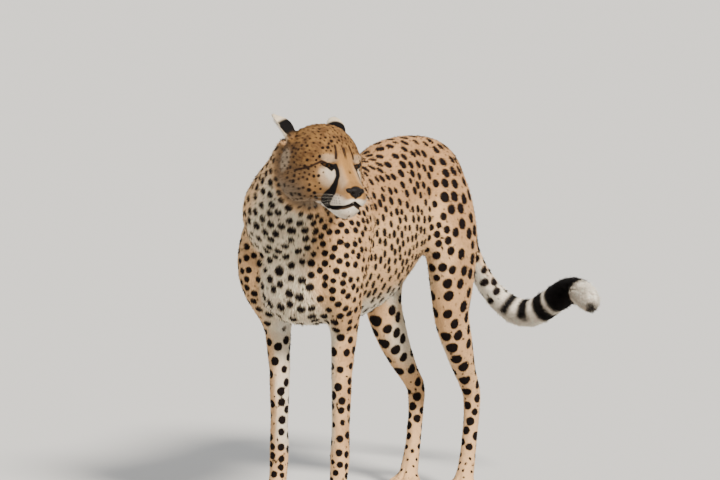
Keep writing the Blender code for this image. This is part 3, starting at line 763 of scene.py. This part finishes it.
facePatches = (  # colour, strength, middle and radii in head centimetres
    ("pale", 0.20, (0.0, 3.1, 0.75), (1.4, 1.7, 0.75)),  # over the eye
    ("pale", 0.48, (0.7, 3.4, -2.1), (1.9, 1.5, 2.0)),  # under the eye
    ("white", 0.35, (1.1, 3.1, -1.7), (1.3, 0.9, 1.2)),
    ("bridge", 0.35, (-0.6, 4.4, -3.6), (2.4, 1.6, 2.0)),  # cheek
    ("white", 0.8, (3.0, 2.3, -5.9), (1.9, 1.5, 1.2)),  # whisker pad
    ("white", 0.9, (4.4, 0.7, -5.9), (1.0, 1.7, 0.75)),  # lip
    ("crown", 0.5, (4.0, 0.6, -3.1), (1.0, 1.0, 0.8)),  # over the nose pad
    ("pale", 0.35, (-8.2, 6.2, -1.2), (1.8, 1.4, 2.2)),  # below the ear
)
tailBands = [(0.378, 0.396), (0.423, 0.449), (0.470, 0.500), (0.513, 0.612), (0.688, 0.720)]  # metres from the root


def tailTone(points, normals, tone, along):
    tone = mix(tone, tones["flank"], np.ones(len(points)))
    tone = mix(tone, tones["white"], ease(along + 0.10 * (1 - ease(normals[:, 2], -0.6, 0.2)), 0.22, 0.38))
    band = np.zeros(len(points))
    for first, last in tailBands:  # over the top only, and all round near the end
        whole = ease(first + last, 0.86, 0.94)
        top = np.maximum(ease(normals[:, 2] * 0.8 - normals[:, 1] * 0.3, -0.35, 0.05), whole)
        inside = ease(along, first - 0.006, first + 0.004) * (1 - ease(along, last - 0.004, last + 0.006))
        band = np.maximum(band, inside * top)
    return mix(tone, tones["black"], band)


def faceTone(points, normals):
    f, s, u = inHalfHead(points).T
    tone = np.repeat(tones["crown"][None], len(points), axis=0)

    def paint(word, share):
        nonlocal tone
        tone = mix(tone, tones[word], share)

    some = headness(points) > 0.01
    fine, broad = np.zeros(len(points)), np.zeros(len(points))
    fine[some], broad[some] = ripple(points[some], 0.0045), ripple(points[some] + 1.3, 0.014)
    mottled = ease(-broad - 0.8 * fine, 0.10, 0.60)
    paint("gold", ease(broad + 0.6 * fine, -0.05, 0.45))
    paint("umber", 0.75 * mottled)
    paint("bridge", ease(f, -1.0, 1.2) * (1 - ease(s, 1.0, 2.0)))
    paint("gold", 0.55 * ease(f, -0.8, 1.0) * (1 - ease(s, 0.4, 1.1)) * (1 - ease(-u, 3.0, 3.8)))
    # lower sides of the head: the cheek colour, golden hair darkened partly as painted shade
    paint("cheek_and_shade", ease(-u, 0.2, 2.2) * ease(s, 1.2, 2.6))
    paint("pale", 0.20 * ease(s, 0.7, 1.6) * (1 - ease(s, 2.0, 2.8)) * ease(f, 0.6, 1.6) * (1 - ease(f, 3.4, 4.2)))
    paint("umber", 0.45 * mottled * ease(-u, 0.5, 2.0) * ease(-f, 0.0, 2.0))
    # lower jaw and throat: pale hair greyed, partly as painted shade
    paint("shaded_jaw_grey", 0.7 * ease(-u, 3.2, 6.0) * ease(-f, 0.5, 4.0))
    for word, share, middle, radii in facePatches:
        far = np.sqrt(sum(((at - place) / radius) ** 2 for at, place, radius in zip((f, s, u), middle, radii)))
        paint(word, share * (1 - ease(far, 0.6, 1.25)))
    paint("white", ease(-u + 0.7 * ease(f, 2.6, 3.8), 6.4, 7.1) * ease(f, -3.0, 0.5))  # chin
    for wide, edge, growth, word, path in faceLines:
        far, along = nearPath(np.stack([f, s, u], axis=1), path)
        paint(word, 1 - ease(far - growth * ease(along, 2.2, 6.4), wide, edge))
    paint("black", 1 - ease(nearMouth(points)[0], mouth["bare"], mouth["dark"]))
    for side in (1, -1):
        a, b, _, far, facing = eyeAngles(points, side)
        spare = 0.30 * np.clip(a, 0, 60)  # the rim widens into the dark inner corner
        rim = 1 - ease(lidGap(a, b)[0], 4.0 + spare, 8.5 + spare)
        paint("black", rim * (facing > 0.2) * (far < 2.4))
    nose = np.hypot(f - 4.5, np.hypot(s * 0.9, (u + 4.1) * 1.3))
    paint("black", (1 - ease(nose, 1.15, 1.45)) * (f > 3.4))
    share, ear = onEars(points)
    dark = ease(behindEar(points, normals), -0.1, 0.3) * (1 - ease(share, 0.52, 0.66))
    tone = mix(tone, mix(np.repeat(tones["pale"][None], len(points), axis=0), tones["black"], dark), ear)
    for row, height in enumerate((-4.9, -5.35, -5.8, -6.25)):  # small dots where the whiskers grow
        for i in range(5):
            dot = np.hypot(f - (4.1 - 0.55 * i - 0.1 * (row % 2)), u - height + 0.06 * i) - 0.075
            paint("brown", 0.75 * (1 - ease(dot, 0.0, 0.07)) * (s > 1.2) * (f > 1.6))
    return tone


def toneAt(points, normals, numbers):
    # The coat's colour apart from its spots, and how strongly spots show
    pale, strength = numbers[:, 3], numbers[:, 4]
    tone = np.repeat(tones["back"][None], len(points), axis=0)
    for word, low, high in (("flank", 0.02, 0.28), ("pale", 0.28, 0.62), ("white", 0.60, 0.92)):
        tone = mix(tone, tones[word], ease(pale, low, high))
    far, along = nearPath(points - shift, tailPath)
    onTail = (1 - ease(far, 0.034, 0.042)) * ease(along, 0.06, 0.12)
    tone = mix(tone, tailTone(points, normals, tone, along), onTail)
    strength = strength * (1 - onTail * ease(along, 0.33, 0.38))
    face = faceTone(points, normals)
    blackness = np.clip(1 - lengthsOf(face - tones["black"]) / 0.15, 0, 1)
    return mix(tone, face, headness(points)), np.clip(strength * 1.2, 0, 1) * (1 - blackness)


def nearEyes(points):
    return 1 - ease(lengthsOf(inHalfHead(points) - np.array(head["eye"])), 1.7, 2.9)


def settleUnderCoat(skin):
    points, normals = pointsOf(skin.data), normalsOf(skin.data)
    _, numbers = coatAt(points, normals)
    off = ease(points[:, 2], 0.001, 0.010) * (1 - nearEyes(points))
    points = points - normals * (numbers[:, 1] * off)[:, None]
    points[:, 2] = np.maximum(points[:, 2], 0.0)
    setPoints(skin.data, points)


def unwrap(skin, name, chosen):
    # A flat layout of the chosen faces of the skin
    skin.data.uv_layers.active = skin.data.uv_layers.new(name=name)
    selectOnly(skin)
    bpy.ops.object.mode_set(mode="EDIT")
    bpy.ops.mesh.select_mode(type="FACE")
    bpy.ops.mesh.select_all(action="DESELECT")
    bpy.ops.object.mode_set(mode="OBJECT")
    skin.data.polygons.foreach_set("select", chosen)
    bpy.ops.object.mode_set(mode="EDIT")
    bpy.ops.uv.smart_project(angle_limit=math.radians(66), island_margin=0.001)
    bpy.ops.object.mode_set(mode="OBJECT")


def faded(field, strength):
    # where spots fade out they grow smaller before they grow paler
    share = np.clip(strength, 0, 1)
    return field / (0.3 + 0.7 * share), ease(share, 0.10, 0.40)


def markedTone(points, normals, numbers):
    tone, strength = toneAt(points, normals, numbers)
    field, strength = faded(spotField(points) + 0.09 * ripple(points, 0.009), strength)
    return mix(tone, tones["spot"], (1 - ease(field, 0.92, 1.06)) * strength)


settleUnderCoat(skin)
unwrap(skin, "OFBake", np.ones(len(skin.data.polygons), bool))
onHead = headness(pointsOf(skin.data)) > 0.02
unwrap(skin, "head layout", onHead[readOut(skin.data.loops, "vertex_index", 1, np.int32).reshape(-1, 3)].all(axis=1))
print("skin unwrapped")
spotPlaces, spotRadii = placeSpots(skin)
skinPoints, skinNormals = pointsOf(skin.data), normalsOf(skin.data)
skinTone, skinStrength = toneAt(skinPoints, skinNormals, coatAt(skinPoints, skinNormals)[1])
skinField, skinStrength = faded(spotField(skinPoints), skinStrength)
addValues(skin.data, "tone", skinTone)
addValues(skin.data, "spot field", np.minimum(skinField, 3))
addValues(skin.data, "spot strength", skinStrength)
print("skin marked")


# materials of the coat

def addNode(material, kind, output, links=None, **values):
    # Adds a node and gives one of its outputs; links feed its inputs, values set its properties
    node = material.node_tree.nodes.new("ShaderNode" + kind)
    for key, value in values.items():
        setattr(node, key, value)
    for place, source in (links or {}).items():
        if hasattr(source, "links"):
            material.node_tree.links.new(source, node.inputs[place])
        else:
            node.inputs[place].default_value = source
    return node.outputs[output]


def newMaterial(name, roughness, **settings):
    material = bpy.data.materials.new(name)
    material.use_nodes = True
    shader = material.node_tree.nodes["Principled BSDF"]
    shader.inputs["Roughness"].default_value = roughness
    for key, value in settings.items():
        shader.inputs[key.replace("_", " ")].default_value = value
    return material, lambda place, source: material.node_tree.links.new(source, shader.inputs[place])


def shortFurHide():
    # What shows between the tufts: the same markings, with a fine nap
    material, feed = newMaterial("short fur hide", 0.85, Specular_IOR_Level=0.12)
    place = addNode(material, "TexCoord", "Object")
    tone, field, strength = (addNode(material, "Attribute", out, attribute_name=name) for name, out in
                             (("tone", "Color"), ("spot field", "Fac"), ("spot strength", "Fac")))
    ragged = addNode(material, "TexNoise", "Fac", {"Vector": place, "Scale": 170.0, "Detail": 2.0})
    edge = addNode(material, "Math", 0, {0: ragged, 1: 0.16, 2: field}, operation="MULTIPLY_ADD")
    dark = addNode(material, "MapRange", 0, {"Value": edge, "From Min": 0.96, "From Max": 1.16, "To Min": 1.0,
                                             "To Max": 0.0})
    dark = addNode(material, "Math", 0, {0: dark, 1: strength}, operation="MULTIPLY")
    spotted = addNode(material, "Mix", 2, {"Factor": dark, 6: tone, 7: linear(hairColours["spot"])}, data_type="RGBA")
    # hairs of about 1 mm, with painted shade that darkens the colour where the nap's bump is low
    nap = addNode(material, "TexNoise", "Fac", {"Vector": place, "Scale": 900.0, "Detail": 1.0})
    shade = addNode(material, "MapRange", 0, {"Value": nap, "To Min": 0.62, "To Max": 1.0})
    feed("Base Color", addNode(material, "VectorMath", 0, {0: spotted, "Scale": shade}, operation="SCALE"))
    feed("Normal", addNode(material, "Bump", 0, {"Height": nap, "Strength": 0.6, "Distance": 0.0008}))
    return material


def guardHair():
    # Dry hair: a colour for each tuft, with painted shade that makes it darker in the depth of the coat than at the
    # tips
    material, feed = newMaterial("guard hair", 0.75, Specular_IOR_Level=0.15)
    tone = addNode(material, "Attribute", "Color", attribute_name="tone")
    along = addNode(material, "Attribute", "Fac", attribute_name="along")
    # painted shade: each tuft's colour darkens from its tip towards its root
    shade = addNode(material, "MapRange", 0, {"Value": along, "To Min": 0.66, "To Max": 1.08})
    feed("Base Color", addNode(material, "VectorMath", 0, {0: tone, "Scale": shade}, operation="SCALE"))
    return material


hair = guardHair()
skin.data.materials.append(shortFurHide())


# tufts: closed slivers from arrays, lying along the coat

shortTuft = {  # along, across, up; faces
    "points": [(0, -1, 0), (0, 1, 0), (0.40, 0, 1), (1, 0, 0)],
    "faces": [(0, 1, 3), (0, 3, 2), (3, 1, 2), (0, 2, 1)],
    "stations": [0, 0, 1, 2],
    "thick": 0.16,
}
longTuft = {
    "points": [(0, -1, 0), (0, 1, 0), (0, 0, 1), (0.5, -0.8, 0), (0.5, 0.8, 0), (0.5, 0, 0.8), (1, 0, 0)],
    "faces": [(2, 1, 0), (0, 1, 4), (0, 4, 3), (1, 2, 5), (1, 5, 4), (2, 0, 3), (2, 3, 5), (3, 4, 6), (4, 5, 6),
              (5, 3, 6)],
    "stations": [0, 0, 0, 1, 1, 1, 2],
    "thick": 0.5,
}
coat = {
    # length and lift: least share of the guides' own, and how much more; comb: turn and size of locks; width: share
    # of the length, least and most; near the eyes length and lift are cut; some tufts stray higher
    "body": {"density": 206000, "layout": "OFBake", "shape": shortTuft, "sway": 0.05,
             "length": (0.36, 0.22), "lift": (0.70, 0.35), "comb": (0.24, 0.022), "width": (0.23, 0.0008, 0.0022),
             "spread": 1.0, "eyes": (0, 0), "stray": (0.7, 0.05), "pieces": 5},
    "head": {"density": 480000, "layout": "head layout", "shape": shortTuft, "sway": 0.05,
             "length": (0.75, 0.3), "lift": (0.70, 0.35), "comb": (0.22, 0.010), "width": (0.17, 0.0006, 0.0018),
             "spread": 1.0, "eyes": (0.45, 0.7), "stray": (0.9, 0.06)},
    "long": {"density": 52000, "layout": "OFBake", "shape": longTuft, "sway": 0.12,
             "length": (0.75, 0.45), "lift": (0.75, 0.45), "comb": (0.38, 0.020), "width": (0, 0.0015, 0.0015)},
    "ruff_and_ears": {"density": 240000, "layout": "head layout", "shape": longTuft, "sway": 0.12,
                      "length": (0.75, 0.5), "lift": (0.8, 0.4), "comb": (0.35, 0.012), "width": (0, 0.0009, 0.0009)},
}


def meshFromArrays(name, points, faces):
    mesh = bpy.data.meshes.new(name)
    mesh.vertices.add(len(points))
    mesh.vertices.foreach_set("co", points.astype(np.float32).ravel())
    mesh.loops.add(faces.size)
    mesh.loops.foreach_set("vertex_index", faces.astype(np.int32).ravel())
    mesh.polygons.add(len(faces))
    mesh.polygons.foreach_set("loop_start", np.arange(len(faces), dtype=np.int32) * 3)
    mesh.update(calc_edges=True)
    return mesh


def makeTufts(name, shape, sway, roots, normals, lies, lengths, widths, lifts, tones, layout):
    # One piece of joined tufts. Lengths, widths and lifts are in metres; layout is each root's place on the unwrap
    count, form = len(roots), np.array(shape["points"], float)
    along, aside, up = form.T[:, None, :, None]
    normals, lies, across = normals[:, None], lies[:, None], unit(np.cross(normals, lies))[:, None]
    swayed = sway * lengths * rng.standard_normal(count)
    lengths, widths, lifts, swayed = (values[:, None, None] for values in (lengths, widths, lifts, swayed))
    rise = lifts * (1 - (1 - along) ** 2) - 0.25 * widths * (along == 0)
    points = (roots[:, None] + lies * lengths * along + normals * rise + across * widths / 2 * aside
              + normals * widths * shape["thick"] * up + across * swayed * along ** 2).reshape(-1, 3)
    points[:, 2] = np.maximum(points[:, 2], 0.0002)
    faces = (np.array(shape["faces"])[None] + np.arange(count)[:, None, None] * len(form)).reshape(-1, 3)
    mesh = meshFromArrays(name, points, faces)
    addValues(mesh, "along", np.tile(form[:, 0], count))
    addValues(mesh, "tone", tones[:, shape["stations"]].reshape(-1, 3))
    # each tuft is a patch of the layout 0.003 across, at its root's place
    span = layout.max(axis=0) - layout.min(axis=0)
    if (span < 0.8).any():
        layout = 0.03 + 0.94 * (layout - layout.min(axis=0)) / span
    s, a, h = form.T
    patch = np.stack([a * (1 - 0.8 * s) + 0.35 * h, 2 * s - 1], axis=1) * 0.0015
    places = (np.clip(layout, 0.002, 0.998)[:, None] + patch[None]).reshape(-1, 2)
    mesh.uv_layers.new(name="OFBake").data.foreach_set("uv", places[faces.ravel()].astype(np.float32).ravel())
    piece = newPiece(name, mesh)
    mesh.shade_smooth()
    facing = normals * 0.75 + across * aside * 0.45 + lies * 0.12 * along
    mesh.normals_split_custom_set_from_vertices(unit(facing.reshape(-1, 3)).tolist())
    mesh.materials.append(hair)
    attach(piece, "root")
    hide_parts(*flesh)
    print(name, count, "tufts")


def bareHere(points, normals):
    # Where no hair grows: between the lids, on the nose, in the mouth's groove and under the soles
    bare = (points[:, 2] < 0.0015) & (normals[:, 2] < -0.5)
    for side in (1, -1):
        a, b, _, far, facing = eyeAngles(points, side)
        bare |= (lidGap(a, b)[0] < 2.5) & (facing > 0.2) & (far < 2.6)
    f, l, u = toHead(points).T
    bare |= (((l / 1.45) ** 2 + ((u + 4.2) / 0.95) ** 2) < 1) & (f > 3.6)
    return bare | (nearMouth(points)[0] < mouth["bare"])


def combed(lies, normals, points, amount, size):
    # The lie turned a little, neighbours together, so that tufts gather in locks
    turn = amount * (ripple(points, size) + 0.5 * ripple(points + 3.7, size * 0.35))
    return unit(lies * np.cos(turn)[:, None] + np.cross(normals, lies) * np.sin(turn)[:, None])


def tonesAlong(roots, normals, lies, numbers, lengths):
    # The markings under the root, the middle and the tip of each tuft, which varies a little from its neighbours
    vary = 1 + 0.12 * np.clip(rng.standard_normal(len(roots)), -2, 2) + 0.08 * ripple(roots, 0.011)
    found = [markedTone(roots + lies * (lengths * share)[:, None], normals, numbers) for share in (0.1, 0.5, 0.85)]
    return np.clip(np.stack(found, axis=1) * vary[:, None, None], 0.003, 0.95)


def growCoat(name, where, sift=None):
    # Grows one kind of tuft where where() says; sift() gives each root's chance to stay and how white it is, and may
    # change its length and depth
    make = coat[name]
    roots, normals, loops, share = scatter(skin.data, lambda at: make["density"] * where(at))
    layout = readOut(skin.data.uv_layers[make["layout"]].data, "uv", 2).astype(np.float64)
    layout = (layout[loops] * share[..., None]).sum(axis=1)
    keep = ~bareHere(roots, normals)
    roots, normals, layout = roots[keep], normals[keep], layout[keep]
    lies, numbers = coatAt(roots, normals)
    white = np.zeros(len(roots))
    if sift:
        chance, white = sift(roots, normals, numbers)
        keep = rng.random(len(roots)) < chance
        roots, normals, layout, lies, numbers, white = (part[keep] for part in
                                                        (roots, normals, layout, lies, numbers, white))
    count, near = len(roots), nearEyes(roots)
    shorter, lower = make.get("eyes", (0, 0))
    least, more = make["length"]
    lengths = numbers[:, 0] * (least + more * rng.random(count)) * (1 - shorter * near)
    lies = combed(lies, normals, roots, *make["comb"])
    shades = tonesAlong(roots, normals, lies, numbers, lengths)
    shades = shades + (tones["white"] - shades) * white[:, None, None]
    share, low, high = make["width"]
    widths = np.clip(lengths * share, low, high) * make.get("spread", 1.0)
    stray = 1
    if "stray" in make:
        higher, often = make["stray"]
        stray = 1 + higher * (rng.random(count) < often)
    least, more = make["lift"]
    lifts = numbers[:, 1] * (least + more * rng.random(count)) * (1 - lower * near) * stray
    parts, endings = [np.arange(count)], [""]
    if "pieces" in make:  # each spread over the whole body
        parts, endings = np.array_split(rng.permutation(count), make["pieces"]), ["_" + letter for letter in "abcdef"]
    for part, ending in zip(parts, endings):
        makeTufts("coat_" + name + ending, make["shape"], make["sway"],
                  *(values[part] for values in (roots, normals, lies, lengths, widths, lifts, shades, layout)))


def siftLong(points, normals, numbers):
    # Throat, chest, belly, nape, buttocks and tail
    return ease(numbers[:, 0], 0.0125, 0.0160), np.zeros(len(points))


def siftRuff(points, normals, numbers):
    # Behind the cheeks, and pale hair in the ears
    f, _, u = toHead(points).T
    share, ear = onEars(points)
    inEar = (ear * (1 - ease(behindEar(points, normals), -0.6, -0.3))
             * ease(share, -0.1, 0.1) * (1 - ease(share, 0.6, 0.75)))
    ruff = (1 - ear) * ease(-f, 3.0, 6.5) * ease(-u, 0.5, 3.0)
    numbers[:, 0] = numbers[:, 0] * (1 - inEar) * 1.35 + 0.012 * inEar
    numbers[:, 1] = numbers[:, 1] * (1 - inEar) * 1.2 + 0.0035 * inEar
    return np.maximum(inEar, 0.7 * ruff), inEar


def onBody(at):
    # All but the head, and denser on the thin-haired legs
    return (1 + 0.9 * (1 - ease(at[:, 2], 0.12, 0.34)) * (np.abs(at[:, 1]) < 0.42)) * (headness(at) < 0.5)


growCoat("body", onBody)
growCoat("head", lambda at: headness(at) > 0.25)
growCoat("long", lambda at: headness(at) < 0.8, siftLong)
growCoat("ruff_and_ears", lambda at: headness(at) > 0.1, siftRuff)


# whiskers and claws

whisker = {"sides": 5, "steps": 10, "root": 0.00009, "tip": 0.000025, "colour": "C9BEAE", "droop": (-0.55, 0, -0.30),
           "rows": (-4.95, -5.4, -5.85, -6.3), "length": 0.030, "longer": 0.009}


def makeWhiskers():
    # Stiff tapered hairs from the muzzle's pads
    mesh = bmesh.new()
    droop = headAxes @ Vector(whisker["droop"])
    for row, i in [(row, i) for row in range(len(whisker["rows"])) for i in range(3)]:
        length = whisker["length"] + whisker["longer"] * i
        for side in (-1, 1):
            hit = skin.closest_point_on_mesh(inHead(3.9 - 0.62 * i - 0.1 * (row % 2), side * 3.2,
                                                    whisker["rows"][row] - 0.05 * i))
            away = headAxes @ Vector((-0.30 + 0.1 * rng.standard_normal(), side,
                                      (0.10 - 0.12 * row) * 0.6 + 0.08 * rng.standard_normal()))
            away = (away.normalized() + hit[2] * 0.6).normalized()
            length *= 0.92 + 0.16 * rng.random()
            rings = []
            for k in range(whisker["steps"]):
                t = k / (whisker["steps"] - 1)
                middle = hit[1] - hit[2] * 0.0012 + away * length * t + droop * length * t * t * 0.6
                way = (away + droop * 1.2 * t).normalized()
                one = way.orthogonal().normalized()
                two = way.cross(one)
                thick = whisker["root"] + (whisker["tip"] - whisker["root"]) * t ** 0.8
                rings.append([middle + (one * across + two * up) * thick
                              for across, up in section(1, 1, 1, 1, whisker["sides"])])
            addRings(mesh, rings)
    piece = pieceFrom("whiskers", mesh)
    piece.data.shade_smooth()
    # smooth pale bristles that catch the light along one side
    material, feed = newMaterial("stiff white hair", 0.4, Specular_IOR_Level=0.5)
    place = addNode(material, "TexCoord", "Object")
    soft = addNode(material, "TexNoise", "Fac", {"Vector": place, "Scale": 220.0})
    tint = addNode(material, "MapRange", 0, {"Value": soft, "To Min": 0.82, "To Max": 1.0})
    base = linear(whisker["colour"])[:3]
    feed("Base Color", addNode(material, "VectorMath", 0, {0: base, "Scale": tint}, operation="SCALE"))
    piece.data.materials.append(material)
    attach(piece, "root")
    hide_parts("head")


claw = {"length": 0.0105, "thick": 0.0021, "sides": 8, "steps": 6, "dark": "2A221C", "pale": "6B5A48",
        "toes": ((-0.027, 0.012), (-0.0095, 0.0), (0.0095, 0.0), (0.027, 0.012))}  # across and behind the longest toe


def makeClaws():
    # Blunt dark claws that show at the toes, as a cheetah's do
    mesh = bmesh.new()
    for node in ("forefoot_left", "forefoot_right", "hindfoot_left", "hindfoot_right"):
        low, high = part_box(node)
        size = 0.92 if node.startswith("fore") else 0.86
        for across, behind in claw["toes"]:
            root = Vector(((low[0] + high[0]) / 2 + across * size, low[1] + behind * size + 0.0045, 0.0125))
            splay = Matrix.Rotation(-across * 5, 3, "Z")
            rings = []
            for k in range(claw["steps"]):
                t = k / (claw["steps"] - 1)
                bend = math.radians(15 + 55 * t)
                middle = root + splay @ Vector((0, -claw["length"] * t, -claw["length"] * 0.75 * t * t + 0.001 * t))
                over = splay @ Vector((0, -math.sin(bend), math.cos(bend)))
                thick = claw["thick"] * (1 - 0.82 * t ** 1.6)
                rings.append([middle + splay @ Vector((aside * thick * 0.7, 0, 0)) + over * up * thick
                              for aside, up in section(1, 1, 1, 1, claw["sides"])])
            addRings(mesh, rings)
    piece = pieceFrom("claws", mesh)
    piece.data.shade_smooth()
    # dark, slightly polished horn, streaked along the claw every 2 mm
    material, feed = newMaterial("dark horn", 0.35, Specular_IOR_Level=0.5)
    place = addNode(material, "TexCoord", "Object")
    grain = addNode(material, "TexNoise", "Fac", {"Vector": place, "Scale": 500.0})
    ramp = addNode(material, "ValToRGB", "Color", {"Fac": grain})
    for end, tint in zip(ramp.node.color_ramp.elements, ("dark", "pale")):
        end.color = linear(claw[tint])
    feed("Base Color", ramp)
    piece.data.materials.append(material)
    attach(piece, "root")
    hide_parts("forefoot_left", "forefoot_right", "hindfoot_left", "hindfoot_right")


makeWhiskers()
makeClaws()
print("whiskers and claws made")


# eyes and nose pad

# the iris colours are painted shade: dark brown where the living iris is amber, as it looks under the brow and lids
eyeBall = {"segments": 64, "rings": 40, "bulge": 0.09, "pupil": "050403",
           "irisInShade": ((0.215, "2F1D0A"), (0.36, "3C2611"), (0.50, "34200C"), (0.58, "28170A"), (0.64, "140D08"),
                    (0.80, "1E1510"))}  # colours outwards, by share of 60 degrees off the axis


def makeEye(side, word):
    selectOnly()
    middle = inHead(eyeForward, side * eyeSide, eyeUp)
    bpy.ops.mesh.primitive_uv_sphere_add(segments=eyeBall["segments"], ring_count=eyeBall["rings"],
                                         radius=head["eyeRadius"] * head["unit"], location=middle)
    eye = bpy.context.view_layer.objects.active
    eye.name = "eyeball_" + word
    gaze = headAxes @ (Vector(lids["gaze"]) * Vector((1, side, 1))).normalized()
    eye.rotation_euler = gaze.to_track_quat("Z", "Y").to_euler()
    bpy.ops.object.transform_apply(location=True, rotation=True, scale=True)
    bpy.ops.object.shade_smooth()
    points = pointsOf(eye.data)
    away = unit(points - np.array(middle))
    angle = np.degrees(np.arccos(np.clip(away @ np.array(gaze), -1, 1)))
    # the clear front stands a little proud of the ball
    rise = eyeBall["bulge"] * head["unit"] * (1 - ease(angle, 8, 30))
    setPoints(eye.data, points + away * rise[:, None])
    addValues(eye.data, "off axis", angle / 60)
    return eye


nosePad = {
    "voxel": 0.0007, "passes": 12, "colour": (0.011, 0.008, 0.007),
    "eggs": ((4.30, 0, -3.90, (0.85, 1.35, 0.70)), (4.35, 0, -4.45, (0.78, 0.95, 0.75)),
             (4.40, 0, -4.88, (0.66, 0.40, 0.56)), (4.13, -1.22, -3.98, (0.80, 0.74, 0.56)),
             (4.13, 1.22, -3.98, (0.80, 0.74, 0.56))),  # place and radii in head centimetres
    "nostril": (0.78, -4.25), "nostrilDepth": 0.42, "grooveDepth": 0.10,
}


def makeNosePad():
    mesh = bmesh.new()
    for egg in nosePad["eggs"]:
        addHeadEgg(mesh, *egg)
    pad = pieceFrom("nose_pad", mesh)
    addModifier(pad, "REMESH", mode="VOXEL", voxel_size=nosePad["voxel"])
    addModifier(pad, "SMOOTH", factor=0.5, iterations=nosePad["passes"])
    applyModifiers(pad)
    points = pointsOf(pad.data)
    f, l, u = toHead(points).T
    # comma-shaped nostrils and the groove between them
    across, rise = np.abs(l) - nosePad["nostril"][0], u - nosePad["nostril"][1]
    curl = np.hypot(across / 0.30, (rise - 0.35 * across) / 0.20)
    tail = np.hypot((across - 0.35) / 0.38, (rise + 0.10 + 0.2 * across) / 0.10)
    dent = nosePad["nostrilDepth"] * (1 - ease(np.minimum(curl, tail), 0.45, 1.15)) * (f > 3.9)
    groove = nosePad["grooveDepth"] * np.exp(-(l / 0.09) ** 2) * ease(-u, 3.9, 4.5)
    setPoints(pad.data, points - np.outer((dent + groove) * head["unit"], headMatrix[:, 0]))
    selectOnly(pad)
    bpy.ops.object.shade_smooth()
    return pad


def wetEye():
    # An iris painted dark brown, as the shade of the brow and lids over its amber, round a black pupil under a clear
    # wet front
    material, feed = newMaterial("wet eye", 0.45, Specular_IOR_Level=0.03, Coat_Weight=0.16, Coat_Roughness=0.03)
    off = addNode(material, "Attribute", "Fac", attribute_name="off axis")
    place = addNode(material, "TexCoord", "Object")
    fibres = addNode(material, "TexNoise", "Fac", {"Vector": place, "Scale": 1400.0, "Detail": 2.0})
    stirred = addNode(material, "Math", 0, {0: fibres, 1: 0.05, 2: off}, operation="MULTIPLY_ADD")
    ramp = addNode(material, "ValToRGB", "Color", {"Fac": stirred})
    bands = ramp.node.color_ramp.elements
    for band, at in zip(bands, (0.0, 0.185)):
        band.position, band.color = at, linear(eyeBall["pupil"])
    for at, tint in eyeBall["irisInShade"]:
        bands.new(at).color = linear(tint)
    feed("Base Color", ramp)
    return material


def noseLeather():
    # Dark bare skin, pebbled about 1.2 mm across and a little damp, with painted shade in the grooves between the
    # pebbles
    material, feed = newMaterial("nose leather", 0.50, Specular_IOR_Level=0.12)
    place = addNode(material, "TexCoord", "Object")
    pebble = addNode(material, "TexVoronoi", "Distance", {"Vector": place, "Scale": 850.0})
    # painted shade: darker towards each pebble's edge, where the bump is low
    tint = addNode(material, "MapRange", 0, {"Value": pebble, "To Min": 1.0, "To Max": 0.55})
    base = nosePad["colour"]
    feed("Base Color", addNode(material, "VectorMath", 0, {0: base, "Scale": tint}, operation="SCALE"))
    feed("Normal", addNode(material, "Bump", 0, {"Height": pebble, "Strength": 0.5, "Distance": 0.0006}, invert=True))
    return material


wet = wetEye()
for side, word in ((1, "left"), (-1, "right")):
    eye = makeEye(side, word)
    eye.data.materials.append(wet)
    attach(eye, "root")
    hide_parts("eye_" + word)
pad = makeNosePad()
pad.data.materials.append(noseLeather())
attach(pad, "root")
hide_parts("nose")
skin.data.shade_smooth()
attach(skin, "root")
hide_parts(*flesh)
print("eyes and nose made")


# floor, light and camera

studio = {
    "floor": "D3D0CA", "sky": (0.92, 0.95, 1.0, 1), "skyStrength": 0.60,
    "lamps": (("key", 7.6, 12, (54, 0, 58), (1.0, 0.955, 0.89)),  # strength, width in degrees, turn, colour
              ("fill", 0.8, 40, (60, 0, -70), (0.9, 0.95, 1.0))),
    "aim": (-0.121, -0.0145, 0.5705), "azimuth": 30, "elevation": 6, "distance": 10, "lens": 240,
}


def setStage():
    selectOnly()
    bpy.ops.mesh.primitive_plane_add(size=120, location=(0, 0, -0.0005))
    floor = bpy.context.view_layer.objects.active
    floor.name = "studio_floor"
    # a pale matt floor that shows only soft shadows, clouded in patches over a metre across
    paint, feed = newMaterial("matt floor paint", 0.9)
    place = addNode(paint, "TexCoord", "Object")
    cloud = addNode(paint, "TexNoise", "Fac", {"Vector": place, "Scale": 0.8, "Detail": 3.0})
    shade = addNode(paint, "MapRange", 0, {"Value": cloud, "To Min": 0.985, "To Max": 1.0})
    base = linear(studio["floor"])[:3]
    feed("Base Color", addNode(paint, "VectorMath", 0, {0: base, "Scale": shade}, operation="SCALE"))
    floor.data.materials.append(paint)
    scene.world = bpy.data.worlds.new("soft room")
    scene.world.use_nodes = True
    sky = scene.world.node_tree.nodes["Background"].inputs
    sky["Color"].default_value, sky["Strength"].default_value = studio["sky"], studio["skyStrength"]
    for name, power, angle, turn, tint in studio["lamps"]:
        light = bpy.data.lights.new(name, "SUN")
        light.energy, light.angle, light.color = power, math.radians(angle), tint
        lamp = newPiece(name, light)
        lamp.rotation_euler = [math.radians(value) for value in turn]
    a, e = math.radians(studio["azimuth"]), math.radians(studio["elevation"])
    away = Vector((math.sin(a) * math.cos(e), -math.cos(a) * math.cos(e), math.sin(e)))
    lens = bpy.data.cameras.new("camera")
    lens.lens, lens.clip_end = studio["lens"], 200
    scene.camera = newPiece("camera", lens)
    scene.camera.location = Vector(studio["aim"]) + away * studio["distance"]
    scene.camera.rotation_euler = (-away).to_track_quat("-Z", "Y").to_euler()


setStage()
print("stage set")
